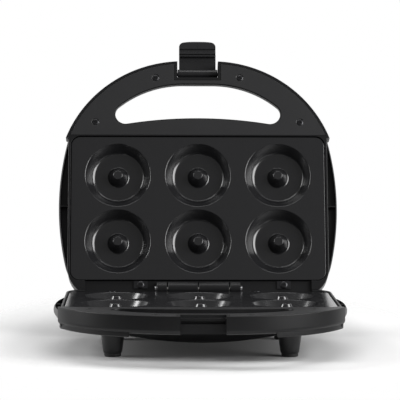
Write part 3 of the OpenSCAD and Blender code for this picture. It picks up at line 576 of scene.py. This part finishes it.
def base_shell():
    """The base's housing: latch recess with its keeper, foot sockets and cord inlet."""
    body = housing()
    keeper = block("keeper", (-NOTCH_HALF_W - WALL, -KEEPER_Y - 1, WALL),
                   (NOTCH_HALF_W + WALL, -KEEPER_SLOT_Y + WALL, GRIP_DEPTH - 0.5))
    walls = []
    for side in SIDES:
        wall_x = side * (NOTCH_HALF_W + WALL / 2)
        walls.append(block("wall", (wall_x - WALL / 2, -ARCH_FRONT + 1, PARTING_GAP),
                           (wall_x + WALL / 2, -KEEPER_SLOT_Y + WALL, GRIP_DEPTH - 2)))
    feet_at = [(side * FOOT_X, y, 0) for side in SIDES for y in FOOT_PLACES_Y]
    seat_line = [(FOOT_SEAT_R, 14.5), (FOOT_SEAT_R, FOOT_TOP_W + 0.3),
                 (FOOT_SEAT_R - 0.5, FOOT_TOP_W + 0.8)]
    seats = [turned("seat", seat_line, 48, at) for at in feet_at]
    add(body, keeper, *walls, *seats)
    recess = block("recess", (-NOTCH_HALF_W, -ARCH_FRONT - 5, -5), (NOTCH_HALF_W, -KEEPER_Y, 45))
    slot_top, slot_bottom = KEEPER_SLOT
    slot = block("slot", (-NOTCH_HALF_W + 0.6, -KEEPER_Y - 1, slot_top),
                 (NOTCH_HALF_W - 0.6, -KEEPER_SLOT_Y, slot_bottom))
    room_line = [(FOOT_ROOM_R, FOOT_TOP_W), (FOOT_ROOM_R, FOOT_TOP_W + 20)]
    rooms = [turned("foot_room", room_line, 48, at) for at in feet_at]
    inlet = turned("inlet", [(INLET_R, 0), (INLET_R, 30)], 48)
    move(inlet, Matrix.Translation((INLET_X, REAR_Y - INLET_ROOM, INLET_Z))
         @ Matrix.Rotation(-math.pi / 2, 4, "X"))
    return cut(body, recess, slot, *rooms, inlet)


def lid_shell():
    """The lid's housing: latch notch with its pin's hole, and windows for the two lenses."""
    body = housing()
    walls = block("walls", (-NOTCH_HALF_W - WALL, -ARCH_FRONT + 2, PARTING_GAP),
                  (NOTCH_HALF_W + WALL, -NOTCH_BACK + WALL, GRIP_DEPTH - 1))
    add(body, walls)
    notch = block("notch", (-NOTCH_HALF_W, -ARCH_FRONT - 5, -5), (NOTCH_HALF_W, -NOTCH_BACK, 45))
    window_r = LENS_D / 2 + 0.05
    windows = [turned("window", [(window_r, TRAY_DEPTH), (window_r, 40)], 48,
                      (side * LAMP_X, LAMP_Y, 0)) for side in SIDES]
    pin_hole = across("pin", LATCH_PIN_R, -22, 22, -LATCH_Y, LATCH_Z)
    return cut(body, notch, *windows, pin_hole)


# ---------- handle covers ----------


def handle_cover(room_back):
    """Cover of the grip, open at the front for the latch and screwed down in four recesses."""
    edge = COVER_EDGE
    profile = quarter((PARTING_GAP, edge), (PARTING_GAP + edge, 0.0), 3) + [(COVER_T, 0.0)]
    cover = stack("cover", lambda inset: arch_outline(COVER_RIM + inset, COVER_BACK + inset),
                  profile)
    lip = stack("lip", hole_outline,
                [(-2, HOLE_LIP + edge), (PARTING_GAP, HOLE_LIP + edge),
                 (PARTING_GAP + edge / 3, HOLE_LIP + edge / 3), (PARTING_GAP + edge, HOLE_LIP),
                 (5, HOLE_LIP)])
    room_half_w = NOTCH_HALF_W + WALL + 0.3
    room = block("room", (-room_half_w, -ARCH_FRONT - 5, -5), (room_half_w, -room_back, 9))
    recess_line = [(3.6, -1), (3.45, PARTING_GAP + 0.1), (3.15, 0.45), (3.15, 0.9)]
    hole_line = [(1.5, 0.5), (1.5, 5)]
    holes = []
    for side in SIDES:
        for x, y in COVER_SCREWS:
            holes.append(turned("recess", recess_line, 40, (side * x, y, 0)))
            holes.append(turned("hole", hole_line, 24, (side * x, y, 0)))
    return cut(cover, lip, room, *holes)


# ---------- plates ----------


def cavity_profile(thickness):
    """Radius and depth from the rim to the post's tip, that far behind the plate's face."""
    rim = (CAVITY_R + CAVITY_RIM_R, CAVITY_RIM_R)
    root = (CAVITY_FLOOR_R, CAVITY_DEPTH - CAVITY_ROOT_R)
    post_root = (POST_BASE_R + 2.2, CAVITY_DEPTH - POST_ROOT_R)
    if thickness:
        line = [polar(rim, CAVITY_RIM_R - thickness, 180 + CAVITY_DRAFT)]
        tip = [(POST_TIP_R - 0.8 * thickness, thickness)]
    else:
        line = arc(rim, CAVITY_RIM_R, 270, 180 + CAVITY_DRAFT, 6)
        tip = arc((POST_TIP_R - POST_TIP_ROUND, POST_TIP_ROUND), POST_TIP_ROUND, -25, -88, 6)
    line += arc(root, CAVITY_ROOT_R + thickness, CAVITY_DRAFT, 90, 12)
    line += arc(post_root, POST_ROOT_R + thickness, 90, 155, 9)
    return line + tip


PLATE_CORNER_STEPS = 10


def plate_outline(inset):
    """Outline of the plate, with a point wherever two cells of its six cavities meet the edge."""
    half_w, half_d, radius = PLATE_W / 2 - inset, PLATE_D / 2 - inset, PLATE_CORNER_R - inset
    split = CAVITY_PITCH[0] / 2
    edge = [(split, -half_d)]
    edge += arc((half_w - radius, radius - half_d), radius, -90, 0, PLATE_CORNER_STEPS)
    edge += [(half_w, 0.0)]
    edge += arc((half_w - radius, half_d - radius), radius, 0, 90, PLATE_CORNER_STEPS)
    edge += [(split, half_d)]
    return mirrored(edge)


def plate_cells(around, inner):
    """Boundaries of the six cells, each with the column and row of its cavity."""
    right, left = inner
    last = len(around)
    side = PLATE_CORNER_STEPS + 2
    back = 2 * side
    return [((1, -1), around[0:side + 1] + [right]), ((1, 1), around[side:back + 1] + [right]),
            ((0, -1), [around[last - 1], around[0], right, left]),
            ((0, 1), [around[back], around[back + 1], left, right]),
            ((-1, 1), around[back + 1:back + side + 2] + [left]),
            ((-1, -1), around[back + side + 1:last] + [left])]


def plate():
    """Ring plate with its skirt, face and back both filled cell by cell around the cavities."""
    steps = 96
    split = CAVITY_PITCH[0] / 2
    bm = bmesh.new()

    def ring(points):
        return [bm.verts.new(p) for p in points]

    def bridge(low, high):
        for i in range(len(low)):
            j = (i + 1) % len(low)
            bm.faces.new((low[i], low[j], high[j], high[i]))

    def fill(loops):
        edges = []
        for loop in loops:
            for i in range(len(loop)):
                a, b = loop[i], loop[(i + 1) % len(loop)]
                edges.append(bm.edges.get((a, b)) or bm.edges.new((a, b)))
        bmesh.ops.triangle_fill(bm, use_beauty=True, use_dissolve=False, edges=edges)

    sides = [(PLATE_EDGE_R * (1 - math.cos(t)), PLATE_EDGE_R * (1 - math.sin(t)))
             for t in turns(4)]
    sides += [(PLATE_SKIRT, 0.0), (PLATE_SKIRT, PLATE_T), (PLATE_T, PLATE_T)]
    rings = [ring([(x, y, PLATE_RECESS + w) for x, y in plate_outline(inset)])
             for w, inset in sides]
    for a, b in zip(rings, rings[1:]):
        bridge(a, b)
    for around, thickness in ((rings[0], 0.0), (rings[-1], PLATE_T)):
        inner = ring([(side * split, 0.0, PLATE_RECESS + thickness) for side in (1, -1)])
        for (column, row), boundary in plate_cells(around, inner):
            cx, cy = column * CAVITY_PITCH[0], row * CAVITY_PITCH[1] / 2
            lines = [ring([(cx + x, cy + y, PLATE_RECESS + w)
                           for x, y in arc((0, 0), r, 0, 360, steps)[:-1]])
                     for r, w in cavity_profile(thickness)]
            for a, b in zip(lines, lines[1:]):
                bridge(a, b)
            bm.faces.new(lines[-1])
            fill([boundary, lines[0]])
    bmesh.ops.recalc_face_normals(bm, faces=bm.faces)
    mesh = bpy.data.meshes.new("plate")
    bm.to_mesh(mesh)
    bm.free()
    return new_object("plate", mesh)


# ---------- small parts ----------


FLOOR_W = HINGE.z / MM


def foot():
    """One foot without its pad, from its top at z = 0 towards the floor."""
    tall = FLOOR_W - FOOT_TOP_W - PAD_H
    line = [(9.4, 0.0), (9.9, 0.15), (10.0, 0.6), (8.0, tall - 3.2), (7.8, tall - 2.2),
            (7.45, tall - 0.9), (6.9, tall - 0.2), (6.5, tall)]
    return turned("foot", line, 56)


def foot_pair(y):
    return weld(*[move(foot(), Matrix.Translation((side * FOOT_X, y, FOOT_TOP_W)))
                  for side in SIDES])


def pads():
    top = FLOOR_W - PAD_H
    line = [(5.8, top - 1.1), (6.8, top + 0.02), (6.8, top + 1.6), (6.5, top + 2.2),
            (5.9, top + PAD_H)]
    return weld(*[turned("pad", line, 48, (side * FOOT_X, y, 0))
                  for side in SIDES for y in FOOT_PLACES_Y])


SHANK_R = 1.4
CROSS_HALF_T = 0.36
CROSS_DEPTH = 0.55


def screw_head(x, y, top, radius, height, shank_len):
    """Pan head with a cross recess, its top at z = top, and a plain shank."""
    line = [(radius * 0.35, top), (radius * 0.62, top + 0.05), (radius * 0.84, top + 0.17),
            (radius * 0.97, top + 0.4), (radius, top + height), (SHANK_R, top + height),
            (SHANK_R, top + height + shank_len)]
    head = turned("screw", line, 40, (x, y, 0))
    half_len = radius * 0.58
    for angle in (20, 110):
        bar = block("cross", (-half_len, -CROSS_HALF_T, top - 1),
                    (half_len, CROSS_HALF_T, top + CROSS_DEPTH))
        move(bar, Matrix.Translation((x, y, 0)) @ Matrix.Rotation(math.radians(angle), 4, "Z"))
        cut(head, bar)
    return head


def cover_screws():
    return weld(*[screw_head(side * x, y, top=0.2, radius=2.9, height=0.65, shank_len=9.0)
                  for side in SIDES for x, y in COVER_SCREWS])


def strip_screws():
    return weld(*[screw_head(x, y, top=0.5, radius=3.0, height=1.2, shank_len=6)
                  for x, y in STRIP_SCREWS])


def latch_plan():
    """Plan of the arm, with a bowed tip and rounded corners."""
    half, corner_r, bow_r = LATCH_W / 2, LATCH_CORNER_R, LATCH_BOW_R
    drop_to_corner = -math.sqrt((bow_r - corner_r) ** 2 - (half - corner_r) ** 2)
    corner = (half - corner_r, drop_to_corner + bow_r - LATCH_LEN)
    turn = math.degrees(math.asin((half - corner_r) / (bow_r - corner_r)))
    edge = arc((0.0, bow_r - LATCH_LEN), bow_r, -90, -90 + turn, 10)
    edge += arc(corner, corner_r, -90 + turn, 0, 10)[1:] + [(half, 5.0)]
    return mirrored(edge)


def latch():
    """Swung out in line with the lid: the section along its arm, from the pin to the tip."""
    lip, lip_t, lip_reach = 16.1, 1.4, 1.9
    behind_lip = -lip - 2.5 * lip_t
    step, slope_end = LATCH_IN + 1.4, LATCH_IN + 0.25
    groove = LATCH_IN + 1.0
    section = [(0.0, step), (-3.8, step), (-4.4, LATCH_IN + 0.9), (-12.0, slope_end),
               (-12.4, LATCH_IN), (-lip, LATCH_IN), (-lip, -lip_reach + 0.3),
               (-lip - 0.4, -lip_reach), (-lip - lip_t, -lip_reach),
               (-lip - lip_t, LATCH_IN + lip_t), (behind_lip, LATCH_IN + lip_t),
               (behind_lip, LATCH_IN), (-21.3, LATCH_IN), (-22.1, groove), (-24.0, groove),
               (-24.5, LATCH_IN)]
    section += arc((-LATCH_LEN + 1.0, LATCH_IN + 1.0), 1.0, 270, 180, 4)
    section += arc((-LATCH_LEN + 2.2, LATCH_OUT - 2.8), 2.2, 180, 100, 5)
    section += [(-LATCH_LEN / 2, LATCH_OUT - 0.05), (-4.0, LATCH_OUT - 0.6),
                (-0.5, LATCH_OUT - 2.2)]
    half = LATCH_W / 2
    arm = loft("arm", [[(x, y, z) for y, z in section] for x in (-half, half)])
    plan = loft("plan", [[(x, y, z) for x, y in latch_plan()] for z in (-9, 12)])
    combine(arm, [plan], "INTERSECT")
    line_half_w, line_end = 0.17, -24.9
    cut(arm, block("mould_line", (-line_half_w, -LATCH_LEN - 1, LATCH_IN - 1),
                   (line_half_w, line_end, LATCH_IN + 0.2)))
    hub_half = NOTCH_HALF_W - 0.3
    add(arm, across("hub", LATCH_HUB_R, -hub_half, hub_half, steps=40, chamfer=0.3))
    cut(arm, across("pin_bore", LATCH_PIN_R, -half - 3, half + 3, steps=32))
    return move(arm, Matrix.Translation((0, -LATCH_Y, LATCH_Z)))


# ---------- materials ----------


def node_group(name, inputs, outputs):
    """New shader group with float or colour sockets: (name, kind, default)."""
    group = bpy.data.node_groups.new(name, "ShaderNodeTree")
    for socket, kind, default in inputs:
        made = group.interface.new_socket(socket, in_out="INPUT", socket_type=kind)
        made.default_value = default
    for socket, kind in outputs:
        group.interface.new_socket(socket, in_out="OUTPUT", socket_type=kind)
    return group, group.nodes.new("NodeGroupInput"), group.nodes.new("NodeGroupOutput")


def feed(tree, value, socket):
    """Sets a socket to a number, or links it to an output."""
    if isinstance(value, (int, float)):
        socket.default_value = value
    else:
        tree.links.new(value, socket)


def math_node(tree, operation, a, b):
    node = tree.nodes.new("ShaderNodeMath")
    node.operation = operation
    for socket, value in zip(node.inputs, (a, b)):
        feed(tree, value, socket)
    return node.outputs[0]


def noise_node(tree, coords, scale, detail, rough):
    node = tree.nodes.new("ShaderNodeTexNoise")
    tree.links.new(coords, node.inputs["Vector"])
    feed(tree, scale, node.inputs["Scale"])
    node.inputs["Detail"].default_value = detail
    node.inputs["Roughness"].default_value = rough
    return node.outputs["Fac"]


def about_zero(tree, noise, amount):
    """Noise around 0, as strong as amount."""
    return math_node(tree, "MULTIPLY", math_node(tree, "SUBTRACT", noise, 0.5), amount)


DRIFT_SCALE = 14.0
SPOT_SCALE = 160.0


def make_grain_group():
    """Fine moulded or sprayed grain, with a slow drift of gloss over the surface."""
    group, given, made = node_group(
        "surface_grain",
        [("Color", "NodeSocketColor", (0.5, 0.5, 0.5, 1)),
         ("Roughness", "NodeSocketFloat", 0.4), ("Grain Scale", "NodeSocketFloat", 900.0),
         ("Drift", "NodeSocketFloat", 0.1), ("Mottle", "NodeSocketFloat", 0.1)],
        [("Color", "NodeSocketColor"), ("Roughness", "NodeSocketFloat"),
         ("Height", "NodeSocketFloat")])
    coords = group.nodes.new("ShaderNodeTexCoord").outputs["Object"]
    fine = noise_node(group, coords, given.outputs["Grain Scale"], 2.0, 0.6)
    slow = noise_node(group, coords, DRIFT_SCALE, 3.0, 0.55)
    spots = noise_node(group, coords, SPOT_SCALE, 3.0, 0.6)
    drift = about_zero(group, slow, given.outputs["Drift"])
    rough = math_node(group, "ADD", given.outputs["Roughness"], drift)
    shade = about_zero(group, spots, given.outputs["Mottle"])
    mix = group.nodes.new("ShaderNodeMix")
    mix.data_type = "RGBA"
    mix.blend_type = "MULTIPLY"
    mix.inputs["Factor"].default_value = 1.0
    group.links.new(given.outputs["Color"], mix.inputs["A"])
    tone = group.nodes.new("ShaderNodeCombineColor")
    level = math_node(group, "ADD", shade, 1.0)
    for channel in ("Red", "Green", "Blue"):
        group.links.new(level, tone.inputs[channel])
    group.links.new(tone.outputs[0], mix.inputs["B"])
    group.links.new(mix.outputs["Result"], made.inputs["Color"])
    group.links.new(rough, made.inputs["Roughness"])
    group.links.new(fine, made.inputs["Height"])
    return group


GRAIN = make_grain_group()


def grained(name, color, roughness, scale, drift=0.12, mottle=0.12, bump=0.1, bump_mm=0.05,
            metallic=0.0, specular=0.5):
    """Material with the shared grain on a Principled shader."""
    material = bpy.data.materials.new(name)
    material.use_nodes = True
    tree = material.node_tree
    shader = tree.nodes["Principled BSDF"]
    grain = tree.nodes.new("ShaderNodeGroup")
    grain.node_tree = GRAIN
    grain.inputs["Color"].default_value = (*color, 1)
    grain.inputs["Roughness"].default_value = roughness
    grain.inputs["Grain Scale"].default_value = scale
    grain.inputs["Drift"].default_value = drift
    grain.inputs["Mottle"].default_value = mottle
    tree.links.new(grain.outputs["Color"], shader.inputs["Base Color"])
    tree.links.new(grain.outputs["Roughness"], shader.inputs["Roughness"])
    relief = tree.nodes.new("ShaderNodeBump")
    relief.inputs["Strength"].default_value = bump
    relief.inputs["Distance"].default_value = bump_mm * MM
    tree.links.new(grain.outputs["Height"], relief.inputs["Height"])
    tree.links.new(relief.outputs["Normal"], shader.inputs["Normal"])
    shader.inputs["Metallic"].default_value = metallic
    shader.inputs["Specular IOR Level"].default_value = specular
    return material


housing_plastic = grained("housing_plastic", (0.007, 0.007, 0.0075), 0.40, scale=1400,
                          bump=0.35, bump_mm=0.03, specular=0.3)
cover_plastic = grained("cover_plastic", (0.018, 0.018, 0.019), 0.42, scale=1600,
                        bump=0.3, bump_mm=0.03)
latch_plastic = grained("latch_plastic", (0.012, 0.012, 0.013), 0.36, scale=1400,
                        bump=0.25, bump_mm=0.03)
plate_coating = grained("plate_coating", (0.011, 0.011, 0.012), 0.19, scale=2600,
                        drift=0.05, mottle=0.2, bump=0.2, bump_mm=0.012, specular=0.9)
foot_plastic = grained("foot_plastic", (0.006, 0.006, 0.0065), 0.38, scale=1200,
                       bump=0.3, bump_mm=0.03)
pad_rubber = grained("pad_rubber", (0.014, 0.014, 0.014), 0.75, scale=800,
                     bump=0.5, bump_mm=0.06)
dark_screw = grained("dark_screw", (0.06, 0.06, 0.063), 0.34, scale=2200,
                     mottle=0.25, metallic=1.0, bump=0.2)
bright_steel = grained("bright_steel", (0.45, 0.44, 0.42), 0.30, scale=1800,
                       mottle=0.2, metallic=1.0, bump=0.15)
zinc_steel = grained("zinc_steel", (0.42, 0.42, 0.43), 0.38, scale=1500,
                     mottle=0.3, metallic=1.0, bump=0.2)
steatite = grained("steatite", (0.72, 0.69, 0.62), 0.55, scale=900, mottle=0.15, bump=0.3)
glass_sleeve = grained("glass_sleeve", (0.60, 0.57, 0.48), 0.8, scale=1200,
                       mottle=0.3, bump=0.6, bump_mm=0.1)
red_lens = grained("red_lens", (0.42, 0.02, 0.015), 0.14, scale=700, bump=0.05)
green_lens = grained("green_lens", (0.03, 0.30, 0.06), 0.14, scale=700, bump=0.05)
phenolic = grained("phenolic_board", (0.45, 0.33, 0.17), 0.5, scale=700, mottle=0.3, bump=0.2)

SLOT_MATERIALS = {
    "housing": housing_plastic, "cover": cover_plastic, "latch_plastic": latch_plastic,
    "plate_coating": plate_coating, "element_steel": bright_steel, "zinc_steel": zinc_steel,
    "screw_steel": dark_screw, "rubber_black": pad_rubber, "foot_plastic": foot_plastic,
    "ceramic": steatite, "sleeve": glass_sleeve, "lens_red": red_lens, "lens_green": green_lens,
    "board": phenolic}

BLACKENED = ("base_plate_brackets", "lid_plate_brackets", "latch_pin")

slot_of = {part["node"]: part["material_slot"] for part in frame["record"]["subparts"]}
for node_name, node_obj in frame["nodes"].items():
    dress = dark_screw if node_name in BLACKENED else SLOT_MATERIALS[slot_of[node_name]]
    node_obj.data.materials.clear()
    node_obj.data.materials.append(dress)

# ---------- pieces ----------

PIECES = [
    # name, maker, body, material, the node that it stands for, width of the softened edges
    ("base_housing", base_shell, "base", housing_plastic, "base_shell", 0.25),
    ("lid_housing", lid_shell, "lid", housing_plastic, "lid_shell", 0.25),
    ("base_cover_plate", lambda: handle_cover(KEEPER_SLOT_Y - WALL - 0.3), "base", cover_plastic,
     "base_handle_cover", 0.0),
    ("lid_cover_plate", lambda: handle_cover(NOTCH_BACK - WALL - 0.3), "lid", cover_plastic,
     "lid_handle_cover", 0.0),
    ("lower_ring_plate", plate, "base", plate_coating, "lower_plate", 0.0),
    ("upper_ring_plate", plate, "lid", plate_coating, "upper_plate", 0.0),
    ("front_foot_pair", lambda: foot_pair(FOOT_PLACES_Y[0]), "base", foot_plastic,
     "front_feet", 0.0),
    ("rear_foot_pair", lambda: foot_pair(FOOT_PLACES_Y[1]), "base", foot_plastic,
     "rear_feet", 0.0),
    ("rubber_pads", pads, "base", pad_rubber, "foot_pads", 0.0),
    ("base_cover_screw_set", cover_screws, "base", dark_screw, "base_cover_screws", 0.0),
    ("lid_cover_screw_set", cover_screws, "lid", dark_screw, "lid_cover_screws", 0.0),
    ("base_strip_screw_set", strip_screws, "base", dark_screw, "base_strip_screws", 0.0),
    ("lid_strip_screw_set", strip_screws, "lid", dark_screw, "lid_strip_screws", 0.0),
    ("latch_arm", latch, "latch", latch_plastic, "latch", 0.35),
]

for piece_name, make, body_name, finish, stands_for, edge_width in PIECES:
    piece = make()
    piece.name = piece_name
    finish_piece(piece, PLACE[body_name], body_name, finish, stands_for,
                 edge_width)

# ---------- stage, light and camera ----------

# the floor's painted shadow (its tones, greyer around the object) and its fade go by the distance from its middle,
# in shares of its reach
FLOOR_HALF_W = 4
FLOOR_MIDDLE = (0.0, 0.10, 0.0)
FLOOR_REACH = (0.21, 0.40, 1.0)
# painted shadow: the floor's colour, dark grey in the middle and pale towards its edge
FLOOR_PAINTED_SHADOW_TONES = ((0.0, 0.50), (0.45, 0.62), (0.62, 0.80), (0.80, 0.95))
FLOOR_FADE = (0.70, 1.10)
# share of the way towards +Y where the mirrored white begins and is full
WHITE_BEHIND = (0.35, 0.85)
ROOM_LEVEL = 0.20
LIGHTS = (
    # name, place, aim, size, power in watts
    ("right_softbox", (1.25, -0.60, 0.62), (0, 0, 0.12), (1.1, 1.1), 26),
    ("left_softbox", (-1.4, 0.12, 0.66), (0, 0, 0.12), (0.45, 1.2), 18),
    ("top_softbox", (0.0, 0.05, 1.7), (0, 0.1, 0.0), (1.6, 0.6), 9),
)


def smooth_range(tree, value, kind, low, high):
    """0 below low, 1 above high, and a smooth change between."""
    node = tree.nodes.new("ShaderNodeMapRange")
    node.interpolation_type = kind
    node.inputs["From Min"].default_value = low
    node.inputs["From Max"].default_value = high
    tree.links.new(value, node.inputs["Value"])
    return node.outputs["Result"]


def mix_shaders(tree, share, first, second, output_kind):
    """Ends the tree in a mix of two shaders."""
    mix = tree.nodes.new("ShaderNodeMixShader")
    tree.links.new(share, mix.inputs["Fac"])
    tree.links.new(first, mix.inputs[1])
    tree.links.new(second, mix.inputs[2])
    output = tree.nodes.new(output_kind)
    tree.links.new(mix.outputs[0], output.inputs["Surface"])


def ramp(tree, value, stops):
    """Grey level over a value from 0 to 1."""
    node = tree.nodes.new("ShaderNodeValToRGB")
    node.color_ramp.interpolation = "EASE"
    while len(node.color_ramp.elements) < len(stops):
        node.color_ramp.elements.new(0.5)
    for element, (place, level) in zip(node.color_ramp.elements, stops):
        element.position = place
        element.color = (level, level, level, 1)
    tree.links.new(value, node.inputs[0])
    return node.outputs["Color"]


def make_floor():
    """Pale floor with a painted shadow, greyer around the object, that fades out into the white behind it."""
    half = FLOOR_HALF_W
    floor = mesh_object("floor", [(-half, -half, 0), (half, -half, 0), (half, half, 0),
                                  (-half, half, 0)], [(0, 1, 2, 3)])
    material = bpy.data.materials.new("pale_floor")
    material.use_nodes = True
    tree = material.node_tree
    tree.nodes.clear()
    coords = tree.nodes.new("ShaderNodeTexCoord").outputs["Object"]
    place = tree.nodes.new("ShaderNodeMapping")
    place.vector_type = "TEXTURE"
    place.inputs["Location"].default_value = FLOOR_MIDDLE
    place.inputs["Scale"].default_value = FLOOR_REACH
    tree.links.new(coords, place.inputs["Vector"])
    length = tree.nodes.new("ShaderNodeVectorMath")
    length.operation = "LENGTH"
    tree.links.new(place.outputs[0], length.inputs[0])
    distance = length.outputs["Value"]
    matt = tree.nodes.new("ShaderNodeBsdfDiffuse")
    # painted shadow: the floor's colour darkens towards the object
    tree.links.new(ramp(tree, distance, FLOOR_PAINTED_SHADOW_TONES), matt.inputs["Color"])
    clear = tree.nodes.new("ShaderNodeBsdfTransparent")
    fade = smooth_range(tree, distance, "SMOOTHERSTEP", *FLOOR_FADE)
    mix_shaders(tree, fade, matt.outputs[0], clear.outputs[0], "ShaderNodeOutputMaterial")
    floor.data.materials.append(material)


def make_world():
    """White behind the object, for the eye and in its reflections; a dim even studio otherwise."""
    world = bpy.data.worlds.new("studio")
    bpy.context.scene.world = world
    world.use_nodes = True
    tree = world.node_tree
    tree.nodes.clear()
    direction = tree.nodes.new("ShaderNodeTexCoord").outputs["Generated"]
    split = tree.nodes.new("ShaderNodeSeparateXYZ")
    tree.links.new(direction, split.inputs[0])
    behind = smooth_range(tree, split.outputs["Y"], "SMOOTHSTEP", *WHITE_BEHIND)
    path = tree.nodes.new("ShaderNodeLightPath")
    mirrored_rays = math_node(tree, "ADD", path.outputs["Is Glossy Ray"],
                              path.outputs["Is Transmission Ray"])
    seen = math_node(tree, "ADD", path.outputs["Is Camera Ray"],
                     math_node(tree, "MULTIPLY", mirrored_rays, behind))
    room = tree.nodes.new("ShaderNodeBackground")
    room.inputs["Color"].default_value = (1, 1, 1, 1)
    room.inputs["Strength"].default_value = ROOM_LEVEL
    white = tree.nodes.new("ShaderNodeBackground")
    white.inputs["Color"].default_value = (1, 1, 1, 1)
    mix_shaders(tree, seen, room.outputs[0], white.outputs[0], "ShaderNodeOutputWorld")


def area_light(name, place, target, size, power):
    lamp = bpy.data.lights.new(name, "AREA")
    lamp.shape = "RECTANGLE"
    lamp.size, lamp.size_y = size
    lamp.energy = power
    obj = new_object(name, lamp)
    obj.location = place
    obj.rotation_euler = (Vector(target) - Vector(place)).to_track_quat("-Z", "Y").to_euler()


def make_camera():
    """Long lens from a little above the base, a little left of the middle."""
    distance = 1.957
    azimuth, elevation, roll = 0.020, 0.105, 0.003
    back = Vector((-math.sin(azimuth) * math.cos(elevation),
                   -math.cos(azimuth) * math.cos(elevation), math.sin(elevation)))
    camera = bpy.data.cameras.new("camera")
    camera.sensor_width = 36.0
    camera.lens = 211.38
    camera.shift_x = -0.0004
    camera.shift_y = 0.2516
    camera.clip_end = 20
    obj = new_object("camera", camera)
    target = Vector((0, HINGE.y - HINGE_Y * MM, 0.040))
    aim = (-back).to_track_quat("-Z", "Y").to_matrix().to_4x4()
    tilt = Matrix.Rotation(roll, 4, "Z")
    obj.matrix_world = Matrix.Translation(target + back * distance) @ aim @ tilt
    bpy.context.scene.camera = obj


make_floor()
make_world()
for light in LIGHTS:
    area_light(*light)
make_camera()

scene = bpy.context.scene
scene.view_settings.view_transform = "Standard"
